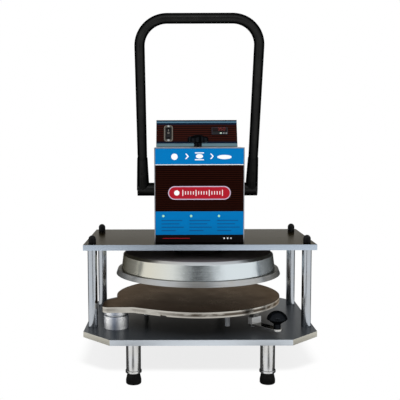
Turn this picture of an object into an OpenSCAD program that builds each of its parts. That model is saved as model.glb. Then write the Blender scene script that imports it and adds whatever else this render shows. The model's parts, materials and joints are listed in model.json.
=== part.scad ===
// Manual dough press: a heated upper platen on a rack-driven ram comes down on a swing-out lower platen.
// Lengths are in millimetres. The origin is on the floor under the middle of the base plate,
// +X is the operator's right, +Y the back and +Z up. Every piece is drawn at rest, with the handle up.

/* [Frame] */
// Width of the base plate and of the top plate
plate_w = 610; // [600:1:640]
// Thickness of the base plate and of the top plate
plate_t = 14.7; // [12:0.1:16]
// Depth of the top plate
top_plate_d = 335; // [330:1:350]
// Length of the base plate's straight sides
base_side_l = 362; // [350:1:390]
// Width of the base plate's corner chamfers
base_chamfer_w = 76; // [60:1:90]
// Depth of the base plate's corner chamfers
base_chamfer_d = 82; // [75:1:95]
// Diameter of the four pillars
pillar_d = 25.4; // [23:0.1:28]
// Height of the pillars between the two plates
pillar_h = 211; // [205:1:230]
// Distance of the pillar axes from the plates' side edges
pillar_inset_x = 20.5; // [18:0.5:24]
// Distance of the pillar axes from the top plate's front and back edges
pillar_inset_y = 36.5; // [30:0.5:45]
// Thread diameter at both ends of a pillar
pillar_thread_d = 12; // [10:0.5:14]
// Diameter of the domed cap nuts
cap_nut_d = 20; // [18:0.5:24]
// Height of the domed cap nuts
cap_nut_h = 21; // [18:0.5:26]

/* [Legs] */
// Outer diameter of the leg tubes
leg_d = 38.1; // [34:0.1:42]
// Wall of the leg tubes
leg_wall = 2; // [1.5:0.1:4]
// Length of the leg tubes
leg_l = 79; // [70:1:110]
// Distance of the leg axes from the middle, sideways
leg_x = 173; // [150:1:200]
// Distance of the leg axes from the middle, front to back
leg_y = 205; // [190:1:220]
// Diameter of the rings under the leg tubes
foot_ring_d = 42; // [40:0.5:48]
// Height of the rings under the leg tubes
foot_ring_h = 6; // [4:0.1:10]
// Largest diameter of the rubber feet
foot_d = 40; // [36:0.5:46]
// Diameter of the rubber feet at the top
foot_neck_d = 32; // [28:0.5:35]
// Height of the rubber feet
foot_h = 30; // [24:0.5:40]
// Diameter of the studs inside the legs
leg_stud_d = 10; // [8:0.5:12]

/* [Lower platen] */
// Diameter of the lower platen
lower_platen_d = 460; // [440:1:462]
// Thickness of the lower platen
lower_platen_t = 15; // [13:0.5:18]
// Distance of the pivot axis inward from the left pillars
pivot_x = 62.5; // [58.5:0.5:66.5]
// Distance of the pivot axis to the front of the middle
pivot_y = 137.5; // [132:0.5:142]
// Diameter of the pivot's base column
pivot_base_d = 66; // [54:0.5:70]
// Height of the pivot's base column
pivot_base_h = 34; // [30:0.5:45]
// Diameter of the thrust washer
thrust_washer_d = 54; // [40:0.5:56]
// Thickness of the thrust washer
thrust_washer_t = 3.8; // [3:0.1:6]
// Diameter of the pivot collar under the ear
pivot_collar_d = 63; // [56:0.5:66]
// Height of the pivot collar
pivot_collar_h = 8.5; // [8:0.1:14]
// Diameter of the pivot spindle
spindle_d = 20; // [16:0.5:26]
// Reach of the ear to the left of the pivot axis
ear_reach = 35.5; // [33:0.5:42]
// Reach of the ear to the front of the pivot axis
ear_front = 31; // [29:0.5:36]
// Reach of the ear to the back of the pivot axis
ear_back = 59.5; // [50:0.5:62]
// Radius of the ear's front corner
ear_corner_r = 14; // [8:0.5:20]
// Diameter of the posts that carry the lower platen
post_d = 13.5; // [10:0.1:16]
// Distance of the posts from the middle of the platen
post_circle_r = 146.5; // [130:0.5:170]

/* [Swing arm] */
// Width of the arm
arm_w = 27; // [24:0.5:32]
// Thickness of the arm
arm_t = 5; // [4:0.1:8]
// Distance of the arm's knob from the edge of the platen
knob_reach = 65; // [55:0.5:70]
// Width of the spacer between arm and platen
spacer_w = 35; // [32:0.5:40]
// Length of the spacer along the arm
spacer_l = 14; // [12:0.5:24]
// Height of the spacer between arm and platen
spacer_h = 28.6; // [20:0.1:34]
// Diameter of the arm's knob
arm_knob_d = 52.5; // [40:0.5:54]
// Height of the arm's knob
arm_knob_h = 46; // [38:0.5:50]
// Diameter of the neck of the arm's knob
arm_knob_neck_d = 18.5; // [16:0.5:24]

/* [Upper platen] */
// Diameter of the upper platen at its lower edge
upper_platen_d = 462; // [450:1:466]
// Thickness of the upper platen
upper_platen_t = 14; // [12:0.5:18]
// How far the upper platen's rim spreads from top to bottom
upper_platen_flare = 5; // [2:0.5:8]
// Outer diameter of the spun cover at its foot
cover_d = 432; // [410:1:440]
// Height of the spun cover
cover_h = 47; // [40:0.5:56]
// How far the cover's side draws in from foot to shoulder
cover_taper = 5; // [2:0.5:8]
// Width of the bevel round the cover's top
cover_bevel_w = 7.5; // [3:0.5:9]
// Height of the bevel round the cover's top
cover_bevel_h = 7; // [4:0.5:10]
// Wall of the spun cover
cover_wall = 2; // [1.5:0.1:3]
// Thickness of the heater disc
heater_t = 6; // [4:0.5:10]
// Thickness of the insulation disc
insulation_t = 14; // [8:0.5:25]
// Diameter of the mount's flange on the cover
mount_flange_d = 140; // [130:1:170]
// Thickness of the mount's flange
mount_flange_t = 10; // [8:0.5:14]
// Diameter of the mount's boss inside the cover
mount_boss_d = 92; // [88:0.5:110]
// Space between the mount and the top plate at rest
mount_gap = 15; // [13:0.5:20]

/* [Ram and drive] */
// Diameter of the ram
ram_d = 54; // [50:0.5:58]
// Diameter of the bore down the top of the ram
ram_bore_d = 22; // [20:0.5:23]
// Module of the rack and pinion
gear_module = 4; // [3.5:0.1:4.2]
// Number of teeth on the pinion
pinion_teeth = 19; // [18:1:20]
// Face width of the pinion
pinion_w = 20; // [16:0.5:28]
// Diameter of the cross shaft
shaft_d = 25.4; // [22:0.1:28]
// Height of the cross shaft above the top plate
shaft_h = 130.2; // [126:0.2:134]
// Angle that the handle turns through, in degrees
handle_travel = 90; // [80:1:92]
// Thickness of the bearing plates
bearing_t = 12; // [10:0.5:16]
// Width of the bearing plates
bearing_w = 88; // [76:1:96]
// Diameter of the return springs
spring_d = 20; // [18:0.5:26]
// Diameter of the rods inside the springs
spring_rod_d = 12; // [9:0.5:13]
// Distance of the springs from the middle, sideways
spring_x = 36; // [30:0.5:44]
// Distance of the springs to the front of the ram axis
spring_y = 62; // [60:0.5:76]
// Thickness of the yoke on top of the ram
yoke_t = 12; // [10:0.5:16]

/* [Handle] */
// Outer diameter of the handle tube
tube_d = 27.2; // [24:0.1:28.5]
// Wall of the handle tube
tube_wall = 2; // [1.5:0.1:4]
// Distance from the cross shaft to the handle's top bar
handle_l = 494.5; // [460:0.5:520]
// Bend radius of the handle tube at its middle line
bend_r = 73; // [60:0.5:90]
// Lean of the handle towards the operator at rest, in degrees
handle_lean = 23.5; // [15:0.5:26]
// Distance of the handle's arms from the housing's sides
arm_gap = 37.3; // [34:0.1:45]
// Diameter of the handle's hubs
hub_d = 38; // [36:0.5:46]
// Reach of the hubs past the handle's arms
hub_overhang = 16; // [14:0.5:24]
// Length of the conical sockets from the shaft axis
socket_l = 99; // [85:0.5:120]
// Diameter of the sockets at the shaft
socket_foot_d = 36.6; // [34:0.1:37.5]
// Diameter of the sockets at their mouth
socket_mouth_d = 29.6; // [29:0.1:34]

/* [Housing] */
// Width of the housing
housing_w = 239; // [228:1:260]
// Depth of the housing
housing_d = 279; // [270:1:290]
// Height of the housing
housing_h = 252; // [246:1:280]
// Distance of the housing's front from the top plate's front edge
housing_setback = 48.5; // [42:0.5:54]
// Thickness of the housing's sheet
sheet_t = 2; // [1.5:0.1:3]
// Thickness of the face plate
face_t = 1; // [0.6:0.1:2]
// Margin of the face plate inside the housing's side and top edges
face_margin = 2.5; // [1:0.5:8]
// Depth of the console at its foot
console_d = 60; // [54:1:75]
// Height of the console
console_h = 78.3; // [70:0.1:86]
// Lean of the control panel, in degrees from upright
panel_lean = 25.3; // [18:0.1:28]
// Thickness of the control panel
panel_t = 2; // [1.5:0.1:3]

/* [Controls] */
// Width of the switch plate
switch_plate_w = 27; // [24:0.5:34]
// Length of the switch plate
switch_plate_l = 53; // [52.5:0.5:66]
// Distance of the switch from the panel's middle
switch_x = 83.5; // [76:0.5:94]
// Distance of the switch up the panel
switch_s = 42.5; // [40:0.5:46]
// Width of the rocker's opening
rocker_w = 13; // [11:0.5:15]
// Length of the rocker's opening
rocker_l = 31; // [28:0.5:33]
// Tilt of the rocker at either end of its travel, in degrees
rocker_tilt = 8; // [5:0.5:9]
// Width of the controller's bezel
controller_w = 48; // [44:0.5:56]
// Height of the controller's bezel
controller_h = 24; // [23:0.5:30]
// Distance of the controller from the panel's middle
controller_x = 68; // [60:0.5:76]
// Distance of the controller up the panel
controller_s = 48.5; // [45:0.5:56]
// Height of the controller's window
window_h = 12.5; // [10:0.5:13]
// Diameter of the thickness knob
knob_d = 62; // [50:0.5:66]
// Height of the thickness knob
knob_h = 33.5; // [28:0.5:38]
// Diameter of the thickness knob's neck
knob_neck_d = 22; // [18:0.5:28]
// Diameter of the lead screw
screw_d = 12; // [10:0.5:12.5]
// Height of the stop nut
stop_nut_h = 16; // [12:0.5:20]
// Diameter of the cable gland
gland_d = 24; // [20:0.5:30]

/* [Hidden] */
$fn = 96;

// Overrun of every cut
cut = 1;
// Radial clearance of shafts, pins and seats
fit_clear = 0.05;
// Radial clearance of bolts in their holes
hole_clear = 0.4;
// Gap between neighbours that move
run_gap = 0.3;

// Levels of the frame
leg_z0 = foot_h + foot_ring_h;
base_z0 = leg_z0 + leg_l;
base_z1 = base_z0 + plate_t;
top_z0 = base_z1 + pillar_h;
top_z1 = top_z0 + plate_t;

// Places in the frame
plate_x = plate_w / 2;
base_y = base_side_l / 2;
base_front = base_y + base_chamfer_d;
pillar_x = plate_x - pillar_inset_x;
pillar_y = top_plate_d / 2 - pillar_inset_y;
pivot_mid_x = pillar_x - pivot_x;
bolt_head_shares = [1.6, 0.7];
bolt_head_d = pillar_thread_d * bolt_head_shares[0];
bolt_head_h = pillar_thread_d * bolt_head_shares[1];
bolt_grip_l = 20;
cap_stud_l = cap_nut_h - cap_nut_d / 2;
leg_thread_l = 9;
foot_hole_l = 14;
foot_bulge_share = 0.36;
foot_sole_share = 0.92;
foot_edge_share = 0.1;

// Levels of the lower platen and its pivot
pivot_z1 = base_z1 + pivot_base_h;
collar_z0 = pivot_z1 + thrust_washer_t + run_gap;
platen_z0 = collar_z0 + pivot_collar_h;
platen_z1 = platen_z0 + lower_platen_t;
spindle_grip_share = 0.55;
spindle_grip_l = pivot_base_h * spindle_grip_share;
spindle_top_gap = 0.5;
platen_skin = 5;
spindle_z1 = platen_z1 - platen_skin - spindle_top_gap;
pivot_bolt_share = 0.35;
pivot_bolt_l = pivot_base_h * pivot_bolt_share;

// Outline of the lower platen's ear
lower_r = lower_platen_d / 2;
ear_x = -(pivot_mid_x + ear_reach);
ear_front_y = -(pivot_y + ear_front);
ear_back_y = -pivot_y + ear_back;
ear_back_inset = 7;
ear_side_share = 0.55;
ear_tangent_angle = 243;
ear_notch_angle = 192.5;
stop_notch_angle = 245.5;
stop_notch_w = 17;
stop_notch_h = 4;
stop_notch_l = 9;

// Posts and arm under the lower platen
post_count = 3;
post_first_angle = -59.2;
post_spigot_d = 8;
post_spigot_l = 8;
arm_angle = -48.8;
arm_z1 = platen_z0 - spacer_h;
arm_z0 = arm_z1 - arm_t;
spacer_edge = 5;
spacer_r1 = lower_r - spacer_edge;
spacer_r0 = spacer_r1 - spacer_l;
arm_knob_r = lower_r + knob_reach;
arm_screw_d = 6;
arm_screw_head_d = 10;
arm_screw_head_h = 3.5;
arm_screw_grip_l = 8;
arm_screw_share = 0.22;
spacer_foot_share = 0.62;
spacer_neck_share = 0.7;
knob_screw_l = 16;
arm_knob_shares = [0.27, 0.26, 0.07];

// Levels of the upper platen
mount_z1 = top_z0 - mount_gap;
cover_z1 = mount_z1 - mount_flange_t;
cover_z0 = cover_z1 - cover_h;
upper_z0 = cover_z0 - upper_platen_t;
cover_r = cover_d / 2;
shoulder_r = cover_r - cover_taper;
cover_top_r = shoulder_r - cover_bevel_w;
heater_margin = 4;
heater_r = shoulder_r - cover_bevel_w - cover_wall - heater_margin;
platen_bolt_d = 8;
platen_bolt_head_d = 13;
platen_bolt_head_h = 8;
platen_bolt_r = ram_d / 2 + platen_bolt_head_d / 2 + platen_bolt_d / 4;
platen_bolt_count = 6;
platen_bolt_turn_share = 0.5;
platen_bolt_grip_l = 9;
ram_spigot_d = 32;
ram_spigot_l = 30;

// Rack, pinion and shaft
ram_r = ram_d / 2;
rack_flat = 2;
pressure_angle = 20;
backlash = 0.3;
gear_pitch = PI * gear_module;
pitch_r = gear_module * pinion_teeth / 2;
tip_r = pitch_r + gear_module;
dedendum_share = 1.25;
dedendum = dedendum_share * gear_module;
root_r = pitch_r - dedendum;
base_r = pitch_r * cos(pressure_angle);
flank_steps = 5;
rack_tip_y = ram_r - rack_flat;
rack_pitch_y = rack_tip_y - gear_module;
rack_root_y = rack_pitch_y - dedendum;
shaft_y = rack_pitch_y + pitch_r;
shaft_z = top_z1 + shaft_h;
stroke = pitch_r * handle_travel * PI / 180;
rack_first = -2;
rack_last = ceil(stroke / gear_pitch) + 2;
pinion_boss_share = 1.7;
pinion_boss_d = shaft_d * pinion_boss_share;
pinion_boss_l = 12;

// Guides and bearings in the housing
guide_wall = 8;
guide_h = 40;
guide_flange_w = 12;
guide_flange_t = 10;
guide_d = ram_d + 2 * guide_wall;
guide_flange_d = guide_d + 2 * guide_flange_w;
bearing_margin = 7;
bearing_x0 = guide_flange_d / 2 + bearing_margin;
bearing_x1 = bearing_x0 + bearing_t;
bearing_bolt_d = 8;
bearing_bolt_head_d = 13;
bearing_bolt_head_h = 6;
bearing_bolt_l = 24;
bearing_bolt_share = 0.32;
bush_wall = 4;
bush_d = shaft_d + 2 * bush_wall;
bush_flange_w = 4;
bush_flange_t = 3;

// Housing
housing_x = housing_w / 2;
housing_y0 = -top_plate_d / 2 + housing_setback;
housing_y1 = housing_y0 + housing_d;
housing_z1 = top_z1 + housing_h;
rear_flange_w = 14;
shaft_hole_clear = 3;
cover_screw_d = 5;
cover_screw_head_d = 9;
cover_screw_head_h = 2.5;
cover_screw_l = 8;
vent_count = 7;
vent_w = 90;
vent_h = 5;
vent_step = 12;
vent_top_share = 0.8;
vent_z0 = top_z1 + housing_h * vent_top_share;
gland_x = -70;
gland_rise = 45;
gland_l = 22;
gland_thread_share = 0.66;
gland_bore_d = 9;
gland_nut_t = 6;

// Thickness adjuster in the housing's top
screw_bush_wall = 4;
screw_bush_flange_w = 5;
screw_bush_d = screw_d + 2 * screw_bush_wall;
screw_bush_flange_d = screw_bush_d + 2 * screw_bush_flange_w;
screw_bush_flange_t = 3;
screw_bush_z0 = housing_z1 - sheet_t - screw_bush_flange_t;
screw_collar_w = 6;
screw_collar_d = screw_d + 2 * screw_collar_w;
screw_collar_t = 4;
screw_collar_z0 = screw_bush_z0 - run_gap - screw_collar_t;
yoke_gap = 6;
yoke_z1 = screw_collar_z0 - yoke_gap;
yoke_z0 = yoke_z1 - yoke_t;
yoke_margin = 8;
yoke_screw_d = 5;
yoke_screw_l = 26;
yoke_screw_head_d = 8.5;
yoke_screw_head_h = 5;
yoke_screw_angles = [0, 180];
screw_pass_clear = 2;
stop_z1 = yoke_z0 - stroke - run_gap;
stop_z0 = stop_z1 - stop_nut_h;
stop_travel = 6;
stop_nut_clear = 0.5;
stop_key_w = 7.4;
stop_slot_w = stop_key_w + 2 * run_gap;
stop_key_inset = 2;
screw_tail_l = 6;
screw_z0 = stop_z0 - stop_travel - screw_tail_l;
ram_bore_floor = 6;
ram_bore_z0 = screw_z0 - ram_bore_floor;
knob_z0 = housing_z1 + run_gap;
knob_socket_l = 20;
knob_shares = [0.34, 0.08, 0.3];
lobe_count = 4;
lobe_turn = -118;
lobe_share = 0.43;
lobe_core_share = 0.5;
rod_spigot_l = 8;
rod_top_gap = 4;

// Handle
arm_x = housing_x + arm_gap;
hub_gap = 1;
hub_x0 = housing_x + hub_gap;
hub_x1 = arm_x + hub_overhang;
hub_cap_t = 6;
socket_seat = 40;
set_screw_d = 8;
set_screw_s = 58;
set_screw_sink = 0.4;
hub_screw_share = 0.2;

// Console and panel
console_y1 = housing_y1;
console_y0 = console_y1 - console_d;
console_z1 = housing_z1 + console_h;
panel_l = console_h / cos(panel_lean);

// Switch
switch_plate_t = 1.2;
switch_plate_r = 8;
switch_screw_d = 4;
switch_screw_head_d = 6.4;
switch_screw_head_h = 1.4;
switch_screw_l = 7;
switch_screw_inset = 3.6;
switch_rim = 2;
switch_wall = 1.3;
switch_w = rocker_w + 2 * switch_wall;
switch_l = rocker_l + 2 * switch_wall;
switch_depth = 20;
rocker_sink = 7;
rocker_t = 5;
rocker_rise = 1.2;
rocker_play = 0.35;
rocker_pin_d = 3;
rocker_pin_l = 0.8;
switch_seat_t = panel_t + switch_plate_t;

// Controller
controller_proud = 5;
controller_body_inset = 1.5;
controller_depth = 26;
controller_hole_clear = 0.3;
window_t = 1.2;
window_margin = 3;
window_play = 0.2;
key_w = 5;
key_h = 3.6;
key_step = 8.2;
key_travel = 0.6;
key_proud = 0.9;
key_depth = 3.4;
key_row_inset = 4.4;
key_first_x = 3;

// Shapes that repeat
module post(d, z0, z1) translate([0, 0, z0]) cylinder(d = d, h = z1 - z0);

module ring(d, bore, z0, z1) difference() {
  post(d, z0, z1);
  post(bore, z0 - cut, z1 + cut);
}

module block(x, y, z) translate([x[0], y[0], z[0]]) cube([x[1] - x[0], y[1] - y[0], z[1] - z[0]]);

module at_corners(x, y) for (sx = [-1, 1], sy = [-1, 1]) translate([sx * x, sy * y, 0]) children();

module both_sides() {
  children();
  mirror([1, 0, 0]) children();
}

// Extrudes an outline drawn in Y and Z from x0 to x1
module across_x(x0, x1) translate([x0, 0, 0]) rotate([90, 0, 90]) linear_extrude(x1 - x0) children();

// A cylinder on the cross shaft's axis from x0 to x1
module on_shaft(d, x0, x1) translate([x0, shaft_y, shaft_z]) rotate([0, 90, 0]) cylinder(d = d, h = x1 - x0);

// A cylinder along +Y from y0 to y1
module along_y(d, x, z, y0, y1) translate([x, y0, z]) rotate([-90, 0, 0]) cylinder(d = d, h = y1 - y0);

module at_pivot() translate([-pivot_mid_x, -pivot_y, 0]) children();

module at_posts() for (i = [0 : post_count - 1])
  rotate(post_first_angle + i * 360 / post_count) translate([post_circle_r, 0, 0]) children();

module at_springs() for (s = [-1, 1]) translate([s * spring_x, -spring_y, 0]) children();

module at_platen_bolts() for (i = [0 : platen_bolt_count - 1])
  rotate((i + platen_bolt_turn_share) * 360 / platen_bolt_count) translate([platen_bolt_r, 0, 0]) children();

module along_arm() rotate(arm_angle) children();

module at_arm_screws() for (s = [-1, 1])
  along_arm() translate([(spacer_r0 + spacer_r1) / 2, s * arm_screw_share * spacer_w, 0]) children();

// The handle's own frame: shaft axis at the origin, arms along +Z
module leaned() translate([0, shaft_y, shaft_z]) rotate([handle_lean, 0, 0]) children();

// The control panel's own frame: X across, Y up the slope, Z out of its back face
module on_panel() translate([0, console_y0, housing_z1]) rotate([90 - panel_lean, 0, 0]) children();

module centred_block(w, l, z0, z1) block([-w / 2, w / 2], [-l / 2, l / 2], [z0, z1]);

module rounded_block(w, l, r, z0, z1) {
  centred_block(w - 2 * r, l, z0, z1);
  centred_block(w, l - 2 * r, z0, z1);
  at_corners(w / 2 - r, l / 2 - r) post(2 * r, z0, z1);
}

// A mushroom knob: neck, cone, rim and a spherical crown
module mushroom(d, h, neck_d, shares) {
  neck_h = h * shares[0];
  cone_h = h * shares[1];
  rim_h = h * shares[2];
  crown_h = h - neck_h - cone_h - rim_h;
  crown_r = (d * d / 4 + crown_h * crown_h) / (2 * crown_h);
  cylinder(d = neck_d, h = neck_h);
  translate([0, 0, neck_h]) cylinder(d1 = neck_d, d2 = d, h = cone_h);
  translate([0, 0, neck_h + cone_h]) cylinder(d = d, h = rim_h);
  intersection() {
    translate([0, 0, h - crown_r]) sphere(r = crown_r);
    translate([0, 0, h - crown_h]) cylinder(d = d, h = crown_h);
  }
}

// Frame
module base_outline() polygon([
  [-plate_x, -base_y], [-plate_x + base_chamfer_w, -base_front],
  [plate_x - base_chamfer_w, -base_front], [plate_x, -base_y],
  [plate_x, base_y], [plate_x - base_chamfer_w, base_front],
  [-plate_x + base_chamfer_w, base_front], [-plate_x, base_y]
]);

module base_plate() color("silver") difference() {
  translate([0, 0, base_z0]) linear_extrude(plate_t) base_outline();
  at_corners(pillar_x, pillar_y) post(pillar_thread_d + 2 * hole_clear, base_z0 - cut, base_z1 + cut);
  at_pivot() post(pillar_thread_d + 2 * hole_clear, base_z0 - cut, base_z1 + cut);
  at_corners(leg_x, leg_y) post(leg_stud_d + 2 * fit_clear, base_z0 - cut, base_z0 + leg_thread_l);
  at_posts() post(post_spigot_d + 2 * fit_clear, base_z1 - post_spigot_l, base_z1 + cut);
}

module top_plate() color("silver") difference() {
  block([-plate_x, plate_x], [-top_plate_d / 2, top_plate_d / 2], [top_z0, top_z1]);
  at_corners(pillar_x, pillar_y) post(pillar_thread_d + 2 * hole_clear, top_z0 - cut, top_z1 + cut);
  post(guide_d + 2 * fit_clear, top_z0 - cut, top_z1 + cut);
  at_springs() post(spring_rod_d + 2 * fit_clear, top_z1 - rod_spigot_l, top_z1 + cut);
  at_bearing_bolts() post(bearing_bolt_d + 2 * hole_clear, top_z0 - cut, top_z1 + cut);
}

module pillars() color("lightgray") at_corners(pillar_x, pillar_y) difference() {
  union() {
    post(pillar_d, base_z1, top_z0);
    post(pillar_thread_d, top_z0 - cut, top_z1 + cap_stud_l);
  }
  post(pillar_thread_d + 2 * fit_clear, base_z1 - cut, base_z1 + bolt_grip_l);
}

module base_bolt(grip_l) {
  post(bolt_head_d, base_z0 - bolt_head_h, base_z0);
  post(pillar_thread_d, base_z0 - cut, base_z1 + grip_l);
}

module base_bolts() color("dimgray") {
  at_corners(pillar_x, pillar_y) base_bolt(bolt_grip_l);
  at_pivot() base_bolt(pivot_bolt_l);
}

module cap_nuts() color("black") at_corners(pillar_x, pillar_y) difference() {
  union() {
    post(cap_nut_d, top_z1, top_z1 + cap_stud_l);
    translate([0, 0, top_z1 + cap_stud_l]) sphere(d = cap_nut_d);
  }
  post(pillar_thread_d + 2 * fit_clear, top_z1 - cap_nut_d, top_z1 + cap_stud_l);
  post(cap_nut_d + cut, top_z1 - cap_nut_d, top_z1);
}

// Legs
module leg_tubes() color("lightgray") at_corners(leg_x, leg_y)
  ring(leg_d, leg_d - 2 * leg_wall, leg_z0, base_z0);

module leg_studs() color("gray") at_corners(leg_x, leg_y)
  post(leg_stud_d, foot_h - foot_hole_l, base_z0 + leg_thread_l);

module foot_rings() color("lightgray") at_corners(leg_x, leg_y)
  ring(foot_ring_d, leg_stud_d + 2 * fit_clear, foot_h, leg_z0);

module rubber_feet() color("black") at_corners(leg_x, leg_y) difference() {
  rotate_extrude() polygon([
    [0, 0], [foot_d / 2 * foot_sole_share, 0], [foot_d / 2, foot_h * foot_edge_share],
    [foot_d / 2, foot_h * foot_bulge_share], [foot_neck_d / 2, foot_h], [0, foot_h]
  ]);
  post(leg_stud_d + 2 * fit_clear, foot_h - foot_hole_l, foot_h + cut);
}

// Pivot and posts under the lower platen
module pivot_base() color("lightgray") at_pivot() difference() {
  post(pivot_base_d, base_z1, pivot_z1);
  post(spindle_d + 2 * fit_clear, pivot_z1 - spindle_grip_l, pivot_z1 + cut);
  post(pillar_thread_d + 2 * fit_clear, base_z1 - cut, base_z1 + pivot_bolt_l);
}

module pivot_spindle() color("gray") at_pivot() post(spindle_d, pivot_z1 - spindle_grip_l, spindle_z1);

module thrust_washer() color("dimgray") at_pivot()
  ring(thrust_washer_d, spindle_d + 2 * fit_clear, pivot_z1, pivot_z1 + thrust_washer_t);

module support_posts() color("lightgray") at_posts() {
  post(post_d, base_z1, platen_z0 - run_gap);
  post(post_spigot_d, base_z1 - post_spigot_l, base_z1 + cut);
}

// Housing on the top plate
module mechanism_housing() color("slategray") difference() {
  block([-housing_x, housing_x], [housing_y0, housing_y1], [top_z1, housing_z1]);
  block([-housing_x + sheet_t, housing_x - sheet_t], [housing_y0 + sheet_t, housing_y1 - sheet_t],
    [top_z1 - cut, housing_z1 - sheet_t]);
  block([-housing_x + rear_flange_w, housing_x - rear_flange_w],
    [housing_y1 - sheet_t - cut, housing_y1 + cut], [top_z1 - cut, housing_z1 - rear_flange_w]);
  on_shaft(shaft_d + 2 * shaft_hole_clear, -housing_x - cut, housing_x + cut);
  post(screw_bush_d + 2 * fit_clear, housing_z1 - sheet_t - cut, housing_z1 + cut);
  at_cover_screws()
    along_y(cover_screw_d + 2 * fit_clear, 0, 0, housing_y1 - sheet_t - cut, housing_y1 + cut);
}

module face_plate() color("steelblue")
  block([-housing_x + face_margin, housing_x - face_margin], [housing_y0 - face_t, housing_y0],
    [top_z1, housing_z1 - face_margin]);

module at_cover_screws() for (sx = [-1, 1], k = [0 : 2])
  translate([sx * (housing_x - rear_flange_w / 2), 0,
    top_z1 + rear_flange_w + k * (housing_h - 2 * rear_flange_w) / 2]) children();

module rear_cover() color("slategray") difference() {
  block([-housing_x, housing_x], [housing_y1, housing_y1 + sheet_t], [top_z1, housing_z1]);
  at_cover_screws()
    along_y(cover_screw_d + 2 * hole_clear, 0, 0, housing_y1 - cut, housing_y1 + sheet_t + cut);
  for (k = [0 : vent_count - 1])
    translate([0, 0, vent_z0 - k * vent_step])
      block([-vent_w / 2, vent_w / 2], [housing_y1 - cut, housing_y1 + sheet_t + cut], [0, vent_h]);
  along_y(gland_d * gland_thread_share + 2 * fit_clear, gland_x, top_z1 + gland_rise,
    housing_y1 - cut, housing_y1 + sheet_t + cut);
}

module rear_cover_screws() color("gainsboro") at_cover_screws() {
  along_y(cover_screw_d, 0, 0, housing_y1 + sheet_t - cover_screw_l, housing_y1 + sheet_t + cut);
  along_y(cover_screw_head_d, 0, 0, housing_y1 + sheet_t, housing_y1 + sheet_t + cover_screw_head_h);
}

module cable_gland() color("black") difference() {
  union() {
    along_y(gland_d, gland_x, top_z1 + gland_rise, housing_y1 + sheet_t, housing_y1 + sheet_t + gland_l);
    along_y(gland_d * gland_thread_share, gland_x, top_z1 + gland_rise,
      housing_y1 - gland_nut_t, housing_y1 + sheet_t + cut);
    along_y(gland_d, gland_x, top_z1 + gland_rise, housing_y1 - gland_nut_t, housing_y1);
  }
  along_y(gland_bore_d, gland_x, top_z1 + gland_rise,
    housing_y1 - gland_nut_t - cut, housing_y1 + sheet_t + gland_l + cut);
}

// Bearings, guide and springs inside the housing
module at_bearing_bolts() for (sx = [-1, 1], sy = [-1, 1])
  translate([sx * (bearing_x0 + bearing_x1) / 2, shaft_y + sy * bearing_bolt_share * bearing_w, 0])
    children();

module bearing_plates() color("darkgray") difference() {
  both_sides() {
    block([bearing_x0, bearing_x1], [shaft_y - bearing_w / 2, shaft_y + bearing_w / 2], [top_z1, shaft_z]);
    on_shaft(bearing_w, bearing_x0, bearing_x1);
  }
  on_shaft(bush_d + 2 * fit_clear, -bearing_x1 - cut, bearing_x1 + cut);
  at_bearing_bolts() post(bearing_bolt_d + 2 * fit_clear, top_z1 - cut, top_z1 + bearing_bolt_l);
}

module bearing_bolts() color("dimgray") at_bearing_bolts() {
  post(bearing_bolt_head_d, top_z0 - bearing_bolt_head_h, top_z0);
  post(bearing_bolt_d, top_z0 - cut, top_z1 + bearing_bolt_l);
}

module shaft_bushes() color("goldenrod") difference() {
  both_sides() {
    on_shaft(bush_d, bearing_x0, bearing_x1 + bush_flange_t);
    on_shaft(bush_d + 2 * bush_flange_w, bearing_x1, bearing_x1 + bush_flange_t);
  }
  on_shaft(shaft_d + 2 * fit_clear, -bearing_x1 - bush_flange_t - cut, bearing_x1 + bush_flange_t + cut);
}

module ram_guide() color("goldenrod") difference() {
  union() {
    post(guide_d, top_z0, top_z1 + guide_h);
    post(guide_flange_d, top_z1, top_z1 + guide_flange_t);
  }
  post(ram_d + 2 * fit_clear, top_z0 - cut, top_z1 + guide_h + cut);
}

module spring_rods() color("gray") at_springs()
  post(spring_rod_d, top_z1 - rod_spigot_l, housing_z1 - sheet_t - rod_top_gap);

module return_springs() color("dimgray") at_springs()
  ring(spring_d, spring_rod_d + 2 * run_gap, top_z1, yoke_z0 - run_gap);

module screw_bush() color("goldenrod") difference() {
  union() {
    post(screw_bush_flange_d, screw_bush_z0, screw_bush_z0 + screw_bush_flange_t);
    post(screw_bush_d, screw_bush_z0, housing_z1);
  }
  post(screw_d + 2 * fit_clear, screw_bush_z0 - cut, housing_z1 + cut);
}

// Console and controls
function slope_y(z) = console_y0 + (z - housing_z1) * tan(panel_lean);

module control_console() color("slategray") difference() {
  across_x(-housing_x, housing_x) polygon([
    [console_y0, housing_z1], [console_y1, housing_z1],
    [console_y1, console_z1], [slope_y(console_z1), console_z1]
  ]);
  across_x(-housing_x + sheet_t, housing_x - sheet_t) polygon([
    [slope_y(housing_z1 + sheet_t) - cut, housing_z1 + sheet_t], [console_y1 - sheet_t, housing_z1 + sheet_t],
    [console_y1 - sheet_t, console_z1 - sheet_t], [slope_y(console_z1 - sheet_t) - cut, console_z1 - sheet_t]
  ]);
}

module at_switch() on_panel() translate([-switch_x, switch_s, 0]) children();

module at_switch_screws() for (s = [-1, 1])
  at_switch() translate([0, s * (switch_plate_l / 2 - switch_screw_inset), 0]) children();

module at_controller() on_panel() translate([controller_x, controller_s, 0]) children();

module switch_hole(z0, z1) centred_block(switch_w + 2 * fit_clear, switch_l + 2 * fit_clear, z0, z1);

module control_panel() color("steelblue") difference() {
  on_panel() block([-housing_x, housing_x], [0, panel_l], [0, panel_t]);
  at_switch() switch_hole(-cut, panel_t + cut);
  at_switch_screws() post(switch_screw_d + 2 * fit_clear, -cut, panel_t + cut);
  at_controller() centred_block(controller_w - 2 * controller_body_inset + 2 * controller_hole_clear,
    controller_h - 2 * controller_body_inset + 2 * controller_hole_clear, -cut, panel_t + cut);
}

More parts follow.
